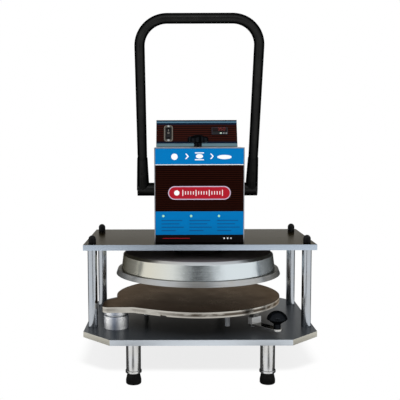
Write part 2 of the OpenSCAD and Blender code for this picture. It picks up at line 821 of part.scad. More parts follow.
module switch_plate() color("gainsboro") difference() {
  at_switch() rounded_block(switch_plate_w, switch_plate_l, switch_plate_r, panel_t, switch_seat_t);
  at_switch() switch_hole(panel_t - cut, switch_seat_t + cut);
  at_switch_screws() post(switch_screw_d + 2 * fit_clear, panel_t - cut, switch_seat_t + cut);
}

module switch_screws() color("lightgray") at_switch_screws() {
  post(switch_screw_head_d, switch_seat_t, switch_seat_t + switch_screw_head_h);
  post(switch_screw_d, switch_seat_t - switch_screw_l, switch_seat_t + switch_screw_head_h);
}

module switch_body() color("black") difference() {
  at_switch() {
    centred_block(switch_w, switch_l, -switch_depth, switch_seat_t + switch_rim);
    centred_block(rocker_w + 2 * switch_rim, rocker_l + 2 * switch_rim + switch_wall,
      switch_seat_t, switch_seat_t + switch_rim);
  }
  at_switch()
    centred_block(rocker_w, rocker_l, switch_seat_t - rocker_sink, switch_seat_t + switch_rim + cut);
  at_rocker() rocker_pin(rocker_pin_d + 2 * fit_clear, rocker_w + 2 * (rocker_pin_l + fit_clear));
}

module at_rocker() at_switch() translate([0, 0, switch_seat_t + rocker_rise - rocker_t / 2]) children();

module rocker_pin(d, l) rotate([0, 90, 0]) cylinder(d = d, h = l, center = true);

module rocker() color("black") at_rocker() rotate([-rocker_tilt, 0, 0]) {
  centred_block(rocker_w - 2 * rocker_play, rocker_l - 4 * rocker_play, -rocker_t / 2, rocker_t / 2);
  rocker_pin(rocker_pin_d, rocker_w + 2 * rocker_pin_l);
}

module at_key(k) at_controller()
  translate([key_first_x + k * key_step, -controller_h / 2 + key_row_inset, 0]) children();

module controller_case() color("black") difference() {
  at_controller() {
    centred_block(controller_w - 2 * controller_body_inset, controller_h - 2 * controller_body_inset,
      -controller_depth, panel_t + cut);
    centred_block(controller_w, controller_h, panel_t, panel_t + controller_proud);
  }
  at_window() centred_block(controller_w - 2 * window_margin, window_h, panel_t + controller_proud - window_t,
    panel_t + controller_proud + cut);
  for (k = [0 : 2])
    at_key(k) centred_block(key_w + 2 * run_gap, key_h + 2 * run_gap,
      panel_t + controller_proud - key_depth - key_travel - run_gap, panel_t + controller_proud + cut);
}

module at_window() at_controller()
  translate([0, controller_h / 2 - window_margin / 2 - window_h / 2, 0]) children();

module controller_window() color("darkred") at_window()
  centred_block(controller_w - 2 * window_margin - 2 * window_play, window_h - 2 * window_play,
    panel_t + controller_proud - window_t, panel_t + controller_proud);

module key(k) color("gainsboro") at_key(k)
  centred_block(key_w, key_h, panel_t + controller_proud - key_depth, panel_t + controller_proud + key_proud);

module set_key() key(0);

module down_key() key(1);

module up_key() key(2);

// Handle
module handle_path(d, start) {
  both_sides() {
    translate([arm_x, 0, start]) cylinder(d = d, h = handle_l - bend_r - start);
    translate([arm_x - bend_r, 0, handle_l - bend_r]) rotate([90, 0, 0])
      rotate_extrude(angle = 90) translate([bend_r, 0]) circle(d = d);
  }
  translate([-(arm_x - bend_r), 0, handle_l]) rotate([0, 90, 0]) cylinder(d = d, h = 2 * (arm_x - bend_r));
}

module handle_tube() color("black") leaned() difference() {
  handle_path(tube_d, socket_seat);
  handle_path(tube_d - 2 * tube_wall, socket_seat - cut);
}

function socket_r(s) = (socket_foot_d + (socket_mouth_d - socket_foot_d) * s / socket_l) / 2;

// Screws at the front of each socket, which hold the tube
module at_tube_screws() leaned() for (s = [-1, 1])
  translate([s * arm_x, 0, set_screw_s]) rotate([90, 0, 0]) children();

// Screws under each hub, which hold the shaft
module at_hub_screws() leaned() for (s = [-1, 1])
  translate([s * (hub_x0 + hub_screw_share * (hub_x1 - hub_x0)), 0, 0]) rotate([180, 0, 0]) children();

module handle_hubs() color("black") difference() {
  both_sides() {
    on_shaft(hub_d, hub_x0, hub_x1);
    leaned() translate([arm_x, 0, 0]) cylinder(d1 = socket_foot_d, d2 = socket_mouth_d, h = socket_l);
  }
  both_sides() {
    on_shaft(shaft_d + 2 * fit_clear, hub_x0 - cut, hub_x1 - hub_cap_t);
    leaned() translate([arm_x, 0, 0]) post(tube_d + 2 * fit_clear, socket_seat, socket_l + cut);
  }
  at_tube_screws() post(set_screw_d + 2 * fit_clear, 0, hub_d);
  at_hub_screws() post(set_screw_d + 2 * fit_clear, 0, hub_d);
}

module hub_set_screws() color("gray") {
  at_tube_screws() post(set_screw_d, tube_d / 2 + fit_clear, socket_r(set_screw_s) - set_screw_sink);
  at_hub_screws() post(set_screw_d, shaft_d / 2 + fit_clear, hub_d / 2 - set_screw_sink);
}

module cross_shaft() color("lightgray") on_shaft(shaft_d, -(hub_x1 - hub_cap_t), hub_x1 - hub_cap_t);

// Involute function, and half the angle of a tooth at radius r, in degrees
function involute(a) = tan(a) * 180 / PI - a;
function tooth_half(r) = 90 / pinion_teeth + involute(pressure_angle) - involute(acos(min(1, base_r / r)))
  - backlash / 2 / pitch_r * 180 / PI;
function polar(r, a) = [r * cos(a), r * sin(a)];
flank_rs = [for (i = [0 : flank_steps]) base_r + (tip_r - base_r) * i / flank_steps];
function tooth(a) = concat(
  [polar(root_r, a - tooth_half(base_r))],
  [for (r = flank_rs) polar(r, a - tooth_half(r))],
  [for (i = [flank_steps : -1 : 0]) polar(flank_rs[i], a + tooth_half(flank_rs[i]))],
  [polar(root_r, a + tooth_half(base_r))]
);

module drive_pinion() color("dimgray") difference() {
  union() {
    across_x(-pinion_w / 2, pinion_w / 2) translate([shaft_y, shaft_z])
      polygon([for (i = [0 : pinion_teeth - 1]) each tooth(180 + i * 360 / pinion_teeth)]);
    on_shaft(pinion_boss_d, -pinion_w / 2 - pinion_boss_l, pinion_w / 2 + pinion_boss_l);
  }
  on_shaft(shaft_d + 2 * fit_clear, -pinion_w / 2 - pinion_boss_l - cut, pinion_w / 2 + pinion_boss_l + cut);
}

// Ram and upper platen
function space_half(y) = gear_pitch / 4 + backlash / 2 + (y - rack_pitch_y) * tan(pressure_angle);

module rack_space() polygon([
  [rack_root_y, -space_half(rack_root_y)], [ram_r + cut, -space_half(ram_r + cut)],
  [ram_r + cut, space_half(ram_r + cut)], [rack_root_y, space_half(rack_root_y)]
]);

module ram() color("silver") difference() {
  union() {
    post(ram_d, mount_z1, yoke_z0);
    post(ram_spigot_d, mount_z1 - ram_spigot_l, mount_z1 + cut);
  }
  post(ram_bore_d, ram_bore_z0, yoke_z0 + cut);
  block([-stop_slot_w / 2, stop_slot_w / 2], [-ram_r - cut, 0], [ram_bore_z0, yoke_z0 + cut]);
  block([-ram_r - cut, ram_r + cut], [rack_tip_y, ram_r + cut],
    [shaft_z + (rack_first - 1) * gear_pitch, yoke_z0 + cut]);
  for (k = [rack_first : rack_last])
    across_x(-ram_r - cut, ram_r + cut) translate([0, shaft_z + k * gear_pitch]) rack_space();
  at_yoke_screws() post(yoke_screw_d + 2 * fit_clear, yoke_z1 - yoke_screw_l, yoke_z0 + cut);
}

module at_yoke_screws() for (a = yoke_screw_angles)
  rotate(a) translate([(ram_bore_d / 2 + ram_r) / 2, 0, 0]) children();

module ram_yoke() color("gray") difference() {
  union() {
    post(2 * rack_tip_y, yoke_z0, yoke_z1);
    block([-spring_x - spring_d / 2 - yoke_margin / 2, spring_x + spring_d / 2 + yoke_margin / 2],
      [-spring_y - spring_d / 2 - yoke_margin / 2, 0], [yoke_z0, yoke_z1]);
  }
  post(screw_d + 2 * screw_pass_clear, yoke_z0 - cut, yoke_z1 + cut);
  at_springs() post(spring_rod_d + 2 * run_gap, yoke_z0 - cut, yoke_z1 + cut);
  at_yoke_screws() post(yoke_screw_d + 2 * fit_clear, yoke_z0 - cut, yoke_z1 + cut);
}

module yoke_screws() color("dimgray") at_yoke_screws() {
  post(yoke_screw_d, yoke_z1 - yoke_screw_l, yoke_z1 + cut);
  post(yoke_screw_head_d, yoke_z1, yoke_z1 + yoke_screw_head_h);
}

module platen_mount() color("silver") difference() {
  union() {
    post(mount_flange_d, cover_z1, mount_z1);
    post(mount_boss_d, cover_z0, cover_z1 + cut);
  }
  post(ram_spigot_d + 2 * fit_clear, mount_z1 - ram_spigot_l, mount_z1 + cut);
  at_platen_bolts() post(platen_bolt_d + 2 * hole_clear, cover_z0 - cut, mount_z1 + cut);
}

module platen_bolts() color("dimgray") at_platen_bolts() {
  post(platen_bolt_d, cover_z0 - platen_bolt_grip_l, mount_z1 + cut);
  post(platen_bolt_head_d, mount_z1, mount_z1 + platen_bolt_head_h);
}

module platen_cover() color("silver") rotate_extrude() polygon([
  [cover_r, cover_z0], [shoulder_r, cover_z1 - cover_bevel_h], [cover_top_r, cover_z1],
  [mount_boss_d / 2 + fit_clear, cover_z1], [mount_boss_d / 2 + fit_clear, cover_z1 - cover_wall],
  [cover_top_r - cover_wall / 2, cover_z1 - cover_wall],
  [shoulder_r - cover_wall, cover_z1 - cover_bevel_h], [cover_r - cover_wall, cover_z0]
]);

module insulation_disc() color("beige")
  ring(2 * heater_r, mount_boss_d + 2 * fit_clear, cover_z0 + heater_t, cover_z0 + heater_t + insulation_t);

module heater_disc() color("sienna")
  ring(2 * heater_r, mount_boss_d + 2 * fit_clear, cover_z0, cover_z0 + heater_t);

module upper_platen() color("darkgray") difference() {
  translate([0, 0, upper_z0])
    cylinder(d1 = upper_platen_d, d2 = upper_platen_d - 2 * upper_platen_flare, h = upper_platen_t);
  at_platen_bolts() post(platen_bolt_d + 2 * fit_clear, cover_z0 - platen_bolt_grip_l, cover_z0 + cut);
}

// Lower platen and its arm
ear_start = polar(lower_r, ear_tangent_angle);
ear_run = (ear_front_y - ear_start[1]) / -cos(ear_tangent_angle);
ear_bend = [ear_start[0] + ear_run * sin(ear_tangent_angle), ear_front_y];

module platen_ear() {
  polygon([
    [0, 0], ear_start, ear_bend,
    [ear_x + ear_corner_r, ear_front_y], [ear_x, ear_front_y + ear_corner_r],
    [ear_x, -pivot_y + ear_side_share * ear_back], [ear_x + ear_back_inset, ear_back_y],
    polar(lower_r, ear_notch_angle)
  ]);
  translate([ear_x + ear_corner_r, ear_front_y + ear_corner_r]) circle(r = ear_corner_r);
}

module lower_platen() color("dimgray") difference() {
  union() {
    post(lower_platen_d, platen_z0, platen_z1);
    translate([0, 0, platen_z0]) linear_extrude(lower_platen_t) platen_ear();
  }
  at_pivot() post(spindle_d + 2 * fit_clear, platen_z0 - cut, platen_z1 - platen_skin);
  at_arm_screws() post(arm_screw_d + 2 * fit_clear, platen_z0 - cut, platen_z0 + arm_screw_grip_l);
  rotate(stop_notch_angle) block([lower_r - stop_notch_l, lower_r + stop_notch_l],
    [-stop_notch_w / 2, stop_notch_w / 2], [platen_z0 - cut, platen_z0 + stop_notch_h]);
}

module pivot_collar() color("lightgray") at_pivot()
  ring(pivot_collar_d, spindle_d + 2 * fit_clear, collar_z0, platen_z0);

module platen_arm() color("silver") difference() {
  along_arm() {
    block([spacer_r0, arm_knob_r], [-arm_w / 2, arm_w / 2], [arm_z0, arm_z1]);
    translate([arm_knob_r, 0, 0]) post(arm_w, arm_z0, arm_z1);
  }
  at_arm_screws() post(arm_screw_d + 2 * hole_clear, arm_z0 - cut, arm_z1 + cut);
  along_arm() translate([arm_knob_r, 0, 0]) post(arm_screw_d + 2 * hole_clear, arm_z0 - cut, arm_z1 + cut);
}

module spaced(share, z0, z1)
  block([spacer_r0, spacer_r1], [-share * spacer_w / 2, share * spacer_w / 2], [z0, z1]);

module arm_spacer() color("silver") difference() {
  along_arm() {
    spaced(1, arm_z1, arm_z1 + spacer_foot_share * spacer_h);
    spaced(spacer_neck_share, arm_z1, platen_z0);
  }
  at_arm_screws() post(arm_screw_d + 2 * hole_clear, arm_z1 - cut, platen_z0 + cut);
}

module arm_screw(z1) {
  post(arm_screw_head_d, arm_z0 - arm_screw_head_h, arm_z0);
  post(arm_screw_d, arm_z0 - cut, z1);
}

module arm_screws() color("lightgray") {
  at_arm_screws() arm_screw(platen_z0 + arm_screw_grip_l);
  along_arm() translate([arm_knob_r, 0, 0]) arm_screw(arm_z1 + knob_screw_l);
}

module arm_knob() color("black") along_arm() translate([arm_knob_r, 0, arm_z1]) difference() {
  mushroom(arm_knob_d, arm_knob_h, arm_knob_neck_d, arm_knob_shares);
  post(arm_screw_d + 2 * fit_clear, -cut, knob_screw_l);
}

// Thickness adjuster
module knob_lobes() {
  circle(d = lobe_core_share * knob_d);
  for (i = [0 : lobe_count - 1]) rotate(lobe_turn + i * 360 / lobe_count)
    translate([(1 - lobe_share) * knob_d / 2, 0]) circle(d = lobe_share * knob_d);
}

module thickness_knob() color("black") translate([0, 0, knob_z0]) difference() {
  intersection() {
    mushroom(knob_d, knob_h, knob_neck_d, knob_shares);
    linear_extrude(knob_h) knob_lobes();
  }
  post(screw_d + 2 * fit_clear, -cut, knob_socket_l);
}

module lead_screw() color("lightgray") {
  post(screw_d, screw_z0, knob_z0 + knob_socket_l);
  post(screw_collar_d, screw_collar_z0, screw_collar_z0 + screw_collar_t);
}

module stop_nut() color("goldenrod") difference() {
  union() {
    post(ram_bore_d - 2 * stop_nut_clear, stop_z0, stop_z1);
    block([-stop_key_w / 2, stop_key_w / 2], [-ram_r + stop_key_inset, 0], [stop_z0, stop_z1]);
  }
  post(screw_d + 2 * fit_clear, stop_z0 - cut, stop_z1 + cut);
}

base_plate();
top_plate();
pillars();
base_bolts();
cap_nuts();
leg_tubes();
leg_studs();
foot_rings();
rubber_feet();
pivot_base();
pivot_spindle();
thrust_washer();
support_posts();
mechanism_housing();
face_plate();
rear_cover();
rear_cover_screws();
cable_gland();
bearing_plates();
bearing_bolts();
shaft_bushes();
ram_guide();
spring_rods();
return_springs();
screw_bush();
control_console();
control_panel();
switch_plate();
switch_screws();
switch_body();
controller_case();
controller_window();
handle_tube();
handle_hubs();
hub_set_screws();
cross_shaft();
drive_pinion();
ram();
ram_yoke();
yoke_screws();
platen_mount();
platen_bolts();
platen_cover();
insulation_disc();
heater_disc();
upper_platen();
lower_platen();
pivot_collar();
platen_arm();
arm_spacer();
arm_screws();
arm_knob();
thickness_knob();
lead_screw();
stop_nut();
rocker();
set_key();
down_key();
up_key();
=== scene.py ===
import json
import math
from functools import partial

import bmesh
import bpy
from mathutils import Matrix, Vector

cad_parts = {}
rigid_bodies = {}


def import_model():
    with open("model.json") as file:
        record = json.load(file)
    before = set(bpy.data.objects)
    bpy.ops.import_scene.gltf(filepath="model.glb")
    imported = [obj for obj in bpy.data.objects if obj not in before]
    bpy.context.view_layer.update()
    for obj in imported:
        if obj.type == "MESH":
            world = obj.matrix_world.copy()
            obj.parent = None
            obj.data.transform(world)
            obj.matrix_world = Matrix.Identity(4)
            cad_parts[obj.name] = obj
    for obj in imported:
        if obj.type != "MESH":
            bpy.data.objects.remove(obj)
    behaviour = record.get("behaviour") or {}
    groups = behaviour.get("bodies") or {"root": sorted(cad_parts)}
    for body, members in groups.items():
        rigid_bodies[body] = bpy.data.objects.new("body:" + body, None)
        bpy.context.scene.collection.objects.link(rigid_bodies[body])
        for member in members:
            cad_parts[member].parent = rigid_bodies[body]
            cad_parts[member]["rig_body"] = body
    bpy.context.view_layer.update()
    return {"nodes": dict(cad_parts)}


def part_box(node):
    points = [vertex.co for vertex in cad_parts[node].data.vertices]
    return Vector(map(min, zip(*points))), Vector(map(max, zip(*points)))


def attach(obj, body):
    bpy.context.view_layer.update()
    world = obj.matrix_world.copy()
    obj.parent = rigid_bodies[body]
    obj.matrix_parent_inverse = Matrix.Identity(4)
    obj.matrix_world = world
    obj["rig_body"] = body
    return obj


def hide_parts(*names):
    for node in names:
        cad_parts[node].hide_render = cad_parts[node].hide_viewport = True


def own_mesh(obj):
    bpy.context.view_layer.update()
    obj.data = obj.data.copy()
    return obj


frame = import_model()
nodes = frame["nodes"]
scene = bpy.context.scene
mm = 0.001
print("stage: frame loaded,", len(nodes), "nodes")


# Small helpers

def hexColour(code):
    parts = [int(code[i:i + 2], 16) / 255 for i in (1, 3, 5)]
    return tuple(c / 12.92 if c <= 0.04045 else ((c + 0.055) / 1.055) ** 2.4 for c in parts) + (1.0,)


def perMm(*sizes):
    scales = tuple(1 / (size * mm) for size in sizes)  # pattern scale from sizes in millimetres
    return scales if len(scales) > 1 else scales[0]


def setSockets(node, values):
    # a value is a constant, a hex colour, a socket, or a node that gives its first live output
    for socket, value in values.items():
        if isinstance(value, bpy.types.Node):
            value = next(output for output in value.outputs if output.enabled)
        if isinstance(value, bpy.types.NodeSocket):
            node.id_data.links.new(value, node.inputs[socket])
        else:
            node.inputs[socket].default_value = hexColour(value) if isinstance(value, str) else value


def addNode(tree, kind, values=None, **settings):
    node = tree.nodes.new("ShaderNode" + kind)
    for name, setting in settings.items():
        setattr(node, name, setting)
    setSockets(node, values or {})  # a colour mix has its share at 0 and its colours at 6 and 7
    return node


def startFinish(name, fixed):
    finish = bpy.data.materials.new(name)
    finish.use_nodes = True
    tree = finish.node_tree
    shader = tree.nodes["Principled BSDF"]
    setSockets(shader, fixed)
    add = partial(addNode, tree)
    return finish, add, shader, add("TexCoord").outputs["Object"]


# Finishes: metals

def metalFinish(spec):
    # fine parallel lines from drawing, turning or brushing, soft patches of handling, and where a spec asks,
    # painted bands of reflection and a painted shadow above a height
    finish, add, shader, coords = startFinish(spec["name"], {
        "Metallic": spec.get("metal", 1.0), "Specular Tint": spec.get("graze", "#ffffff")})
    grain = add("Mapping", {"Vector": coords, "Scale": perMm(*spec["grainMm"])})
    lines = add("TexNoise", {"Vector": grain, "Scale": 1.0, "Detail": 3.0})
    patches = add("TexNoise", {
        "Vector": coords, "Scale": perMm(spec["patchMm"]), "Detail": 4.0, "Roughness": 0.6})
    grainAndShine = lines
    if "shineBandMm" in spec:  # painted reflection: broad upright bands of shine across the turned rings
        turn = 2 * math.pi / (spec["shineBandMm"] * mm)
        start = -turn * spec["shineBandAtMm"] * mm
        along = add("SeparateXYZ", {0: coords}).outputs["X"]
        wave = add("Math", {0: along, 1: turn, 2: start}, operation="MULTIPLY_ADD")
        wave = add("Math", {0: wave}, operation="COSINE")
        grainAndShine = add("Math", {0: wave, 1: 0.15, 2: 0.5}, operation="MULTIPLY_ADD")
    share = add("MapRange", {"Value": grainAndShine, "From Min": 0.35, "From Max": 0.65})
    colour = add("Mix", {0: share, 6: spec["dark"], 7: spec["light"]}, data_type="RGBA")
    if "grime" in spec:  # painted shadow: dark above a height, where something overhead would shade it
        height = add("SeparateXYZ", {0: coords}).outputs["Z"]
        low, high = spec["grimeMm"]
        shadowed = add("MapRange", {"Value": height, "From Min": low * mm, "From Max": high * mm})
        colour = add("Mix", {0: shadowed, 6: colour, 7: spec["grime"]}, data_type="RGBA")
    wear = spec.get("wear", 1.0)
    worn = add("MapRange", {"Value": patches, "From Min": 0.35, "From Max": 0.7, "To Max": wear})
    colour = add("Mix", {0: worn, 6: colour, 7: spec["patch"]}, data_type="RGBA")
    low, high = spec["rough"]
    rough = add("MapRange", {
        "Value": patches, "From Min": 0.25, "From Max": 0.75, "To Min": low, "To Max": high})
    depth = spec.get("lineMm", 0.05) * mm
    bump = add("Bump", {"Height": lines, "Strength": spec["lineDepth"], "Distance": depth})
    setSockets(shader, {"Base Color": colour, "Roughness": rough, "Normal": bump})
    return finish


drawnSteel = metalFinish({  # bright drawn bar: long faint lines along the bar, mirror-like between them
    "name": "bright drawn steel", "light": "#bec4cb", "dark": "#a9b0b8", "patch": "#b5b8bb",
    "graze": "#2c2e32", "grainMm": (0.8, 0.8, 160), "patchMm": 45, "rough": (0.14, 0.2), "lineDepth": 0.04})
turnedSteel = metalFinish({  # lathe-turned and polished: fine rings round the axis, broad bands of painted reflection, and a near-white, partly diffuse base as painted sheen
    "name": "turned polished steel", "light": "#ffffff", "dark": "#7f889a", "patch": "#eef0ee",
    "graze": "#d4d8e0", "metal": 0.68, "grainMm": (160, 160, 0.45), "shineBandMm": 41, "shineBandAtMm": -204,
    "patchMm": 40, "wear": 0.25, "rough": (0.2, 0.26), "lineDepth": 1.0, "lineMm": 0.3})
postSteel = metalFinish({  # painted highlight: pins drawn near white and mostly diffuse so they stay bright in the shade; polished, slightly scuffed
    "name": "polished pin steel", "light": "#ffffff", "dark": "#a9b6c8", "patch": "#e6edf6", "metal": 0.1,
    "grainMm": (3, 3, 120), "patchMm": 30, "wear": 0.3, "rough": (0.2, 0.26), "lineDepth": 0.05})
satinTube = metalFinish({  # tube with a satin finish: soft sheen, fine lines along it
    "name": "satin stainless tube", "light": "#d8d9db", "dark": "#cacbcd", "patch": "#d1d0cc",
    "graze": "#101011", "grainMm": (0.9, 0.9, 70), "patchMm": 30, "rough": (0.16, 0.24), "lineDepth": 0.03})
zincSteel = metalFinish({  # zinc plated fasteners: bluish grey, slightly cloudy
    "name": "zinc plated steel", "light": "#b9bec4", "dark": "#9da3aa", "patch": "#aeb0ae",
    "grainMm": (1.5, 1.5, 1.5), "patchMm": 6, "rough": (0.28, 0.42), "lineDepth": 0.1})
groundSteel = metalFinish({  # ground shaft: very fine rings, bright
    "name": "ground steel", "light": "#cfd1d3", "dark": "#b9bcc0", "patch": "#c4c5c4",
    "grainMm": (40, 40, 0.5), "patchMm": 30, "rough": (0.12, 0.2), "lineDepth": 0.08})
springSteel = metalFinish({  # oil-tempered spring wire: dark blue-grey with a dull shine
    "name": "spring steel", "light": "#6d7176", "dark": "#4d5156", "patch": "#5e5c58",
    "grainMm": (1, 1, 6), "patchMm": 12, "rough": (0.3, 0.45), "lineDepth": 0.1})
machinedAluminium = metalFinish({  # faced casting: satin grey with fine turning rings
    "name": "machined cast aluminium", "light": "#bcbfc1", "dark": "#a3a6a8", "patch": "#afaeaa",
    "graze": "#8a8883", "grainMm": (50, 50, 0.8), "patchMm": 35, "rough": (0.26, 0.38), "lineDepth": 0.15})
spacerAluminium = metalFinish({  # sawn block: satin pale grey, with the platen's shadow painted dark on its upper part
    "name": "sawn aluminium block", "light": "#eceded", "dark": "#d8d9da", "patch": "#e2e1dc",
    "grainMm": (30, 30, 0.8), "patchMm": 12, "wear": 0.3, "rough": (0.32, 0.42), "lineDepth": 0.1,
    "grime": "#1b1a18", "grimeMm": (164.7, 165.7)})
shadeDarkCasting = metalFinish({  # painted shade: a casting drawn brown black and dull, as it sits in shadow under the top plate
    "name": "cast aluminium, painted dark for shade", "light": "#2b2826", "dark": "#1d1b1a", "patch": "#242220",
    "graze": "#1c1a19", "grainMm": (20, 20, 0.9), "patchMm": 18, "rough": (0.4, 0.5), "lineDepth": 0.1})
barAluminium = metalFinish({  # extruded flat bar: satin, lines along it
    "name": "extruded aluminium bar", "light": "#cfd0d0", "dark": "#bcbdbd", "patch": "#c6c5c0",
    "graze": "#4a4845", "grainMm": (30, 30, 0.8), "patchMm": 20, "rough": (0.14, 0.19), "lineDepth": 0.04})
brushedSheet = metalFinish({  # brushed stainless sheet: short upright lines
    "name": "brushed stainless sheet", "light": "#cfd1d8", "dark": "#bcbec6", "patch": "#c6c6cb",
    "grainMm": (0.7, 0.7, 35), "patchMm": 60, "rough": (0.28, 0.38), "lineDepth": 0.18})
bearingBronze = metalFinish({  # sintered bronze: warm, slightly mottled
    "name": "bearing bronze", "light": "#b08a52", "dark": "#8f6c3b", "patch": "#a07c48",
    "grainMm": (1.2, 1.2, 1.2), "patchMm": 5, "rough": (0.3, 0.45), "lineDepth": 0.1})


def plateFinish(spec):
    # sawn and brushed aluminium plate: faces drawn dark and glossy, edges bright, front edges cool and side
    # edges warm; partly the real mill finish against machined edges, partly painted shade and reflection by
    # facing
    finish, add, shader, coords = startFinish(spec["name"], {
        "Specular IOR Level": 0.0, "Specular Tint": spec["graze"]})
    grain = add("Mapping", {"Vector": coords, "Scale": perMm(140, 1.1, 1.1)})
    lines = add("TexNoise", {"Vector": grain, "Scale": 1.0, "Detail": 3.0})
    patches = add("TexNoise", {"Vector": coords, "Scale": perMm(70), "Detail": 4.0})
    facing = add("SeparateXYZ", {0: add("NewGeometry").outputs["Normal"]})
    upright = add("Math", {0: facing.outputs["Z"]}, operation="ABSOLUTE")
    flat = add("MapRange", {"Value": upright, "From Min": 0.75, "From Max": 0.97},
               interpolation_type="SMOOTHSTEP")
    face = add("Mix", {0: patches, 6: spec["dark"], 7: spec["light"]}, data_type="RGBA")
    if "oily" in spec:  # painted shade: dark under the platen, where its shadow falls on the plate
        axes = add("SeparateXYZ", {0: coords})
        across = add("CombineXYZ", {0: axes.outputs["X"], 1: axes.outputs["Y"]})
        radius = add("VectorMath", {0: across}, operation="LENGTH")
        darkestAt, unshadedAt = spec["oilyMm"]
        oily = add("MapRange", {"Value": radius, "From Min": unshadedAt * mm, "From Max": darkestAt * mm})
        face = add("Mix", {0: oily, 6: face, 7: spec["oily"]}, data_type="RGBA")
    edge = add("Mix", {0: lines, 6: spec["edgeDark"], 7: spec["edgeLight"]}, data_type="RGBA")
    # painted reflection: edges that face sideways get a warmer colour than those facing front
    sideways = add("Math", {0: facing.outputs["X"]}, operation="ABSOLUTE")
    turned = add("MapRange", {"Value": sideways, "From Min": 0.3, "From Max": 0.65})
    edge = add("Mix", {0: turned, 6: edge, 7: spec["edgeSide"]}, data_type="RGBA")
    colour = add("Mix", {0: flat, 6: edge, 7: face}, data_type="RGBA")
    low, high = spec["rough"]
    rough = add("MapRange", {
        "Value": lines, "From Min": 0.25, "From Max": 0.75, "To Min": low, "To Max": high})
    bump = add("Bump", {"Height": lines, "Strength": 0.12, "Distance": 0.05 * mm})
    metal = add("MapRange", {"Value": flat, "To Min": 1.0, "To Max": spec["faceMetal"]})
    setSockets(shader, {"Base Color": colour, "Metallic": metal, "Roughness": rough, "Normal": bump})
    return finish


topPlateFinish = plateFinish({  # glossy olive grey faces
    "name": "brushed aluminium plate, upper", "dark": "#5a574e", "light": "#6a675d", "graze": "#84817a",
    "edgeDark": "#bac8d8", "edgeLight": "#d3e0ee", "edgeSide": "#bdbbb2",
    "rough": (0.16, 0.26), "faceMetal": 1.0})
basePlateFinish = plateFinish({  # duller slate faces, with shade painted darkest under the platen
    "name": "brushed aluminium plate, lower", "dark": "#4e5358", "light": "#5f646b", "graze": "#d2d0cc",
    "edgeDark": "#c8d0d8", "edgeLight": "#e2e9f0", "edgeSide": "#d0cdc1",
    "rough": (0.28, 0.36), "faceMetal": 0.78, "oily": "#26282c", "oilyMm": (195, 262)})


def spunFinish(spec):
    # spun steel cover: rings round its middle on the wall and on the top
    finish, add, shader, coords = startFinish(spec["name"], {"Metallic": 1.0, "Specular Tint": spec["graze"]})
    axes = add("SeparateXYZ", {0: coords})
    across = add("CombineXYZ", {0: axes.outputs["X"], 1: axes.outputs["Y"]})
    radius = add("VectorMath", {0: across}, operation="LENGTH")
    ringPlace = add("CombineXYZ", {0: radius, 1: axes.outputs["Z"]})
    rings = add("TexNoise", {"Vector": ringPlace, "Scale": perMm(spec["ringMm"]), "Detail": 2.0})
    waves = add("Mapping", {"Vector": coords, "Scale": perMm(*spec["rippleMm"])})
    ripple = add("TexNoise", {"Vector": waves, "Scale": 1.0, "Detail": 1.0})
    # painted reflection: the wall turns from a warm tint on the left to a cool tint on the right
    warm = add("Mix", {0: rings, 6: spec["warm"][0], 7: spec["warm"][1]}, data_type="RGBA")
    cool = add("Mix", {0: rings, 6: spec["cool"][0], 7: spec["cool"][1]}, data_type="RGBA")
    start, end = spec["coolMm"]
    reflectionShift = add("MapRange", {"Value": axes.outputs["X"], "From Min": start * mm, "From Max": end * mm})
    colour = add("Mix", {0: reflectionShift, 6: warm, 7: cool}, data_type="RGBA")
    rough = add("MapRange", {
        "Value": rings, "From Min": 0.3, "From Max": 0.7, "To Min": 0.18, "To Max": 0.28})
    facing = add("SeparateXYZ", {0: add("NewGeometry").outputs["Normal"]}).outputs["Z"]
    crown = add("MapRange", {"Value": facing, "From Min": 0.55, "From Max": 0.95})
    colour = add("Mix", {0: crown, 6: colour, 7: spec["crown"]}, data_type="RGBA")
    rough = add("Mix", {0: crown, 2: rough, 3: spec["crownRough"]})  # painted shade: the top drawn darker, and rougher, as it lies in shadow under the top plate
    wave = add("Bump", {"Height": ripple, "Strength": 0.5, "Distance": 2.5 * mm})  # uneven spun wall
    fine = add("Bump", {"Height": rings, "Strength": 0.1, "Distance": 0.05 * mm, "Normal": wave})
    setSockets(shader, {"Base Color": colour, "Roughness": rough, "Normal": fine})
    return finish


spunSteel = spunFinish({  # bright wall with soft ripples; painted reflection tints it warm on the left and cool on the right, and painted shade darkens the top
    "name": "spun polished steel", "graze": "#6a645a", "ringMm": 1.2, "rippleMm": (60, 60, 26),
    "warm": ("#d0cec0", "#dedcce"), "cool": ("#cfd9de", "#dde5e8"), "coolMm": (-130, -10),
    "crown": "#8e888b", "crownRough": 0.6})


# Finishes: coats, plastics and rubber

def mouldedFinish(spec):
    # moulded or coated skin: one colour with faint cloudiness, a fine peel, a little dust
    finish, add, shader, coords = startFinish(spec["name"], {
        "IOR": spec["ior"], "Specular IOR Level": spec.get("shine", 0.14), "Metallic": spec.get("metal", 0.0),
        "Specular Tint": spec.get("graze", "#ffffff")})
    cloud = add("TexNoise", {"Vector": coords, "Scale": perMm(spec["cloudMm"]), "Detail": 4.0})
    peel = add("TexNoise", {"Vector": coords, "Scale": perMm(spec["peelMm"]), "Detail": 2.0})
    share = add("MapRange", {"Value": cloud, "From Min": 0.35, "From Max": 0.7})
    colour = add("Mix", {0: share, 6: spec["colour"], 7: spec["dust"]}, data_type="RGBA")
    if "edge" in spec:  # painted shade: colour darkened towards the outline as the eye sees it, for dark surroundings mirrored there
        away = add("LayerWeight", {"Blend": 0.5}).outputs["Facing"]
        rim = add("MapRange", {"Value": away, "From Min": 0.03, "From Max": 0.34})
        colour = add("Mix", {0: rim, 6: colour, 7: spec["edge"]}, data_type="RGBA")
    low, high = spec["rough"]
    rough = add("MapRange", {
        "Value": cloud, "From Min": 0.3, "From Max": 0.7, "To Min": low, "To Max": high})
    bump = add("Bump", {"Height": peel, "Strength": spec["peelDepth"], "Distance": 0.1 * mm})
    setSockets(shader, {"Base Color": colour, "Roughness": rough, "Normal": bump})
    return finish


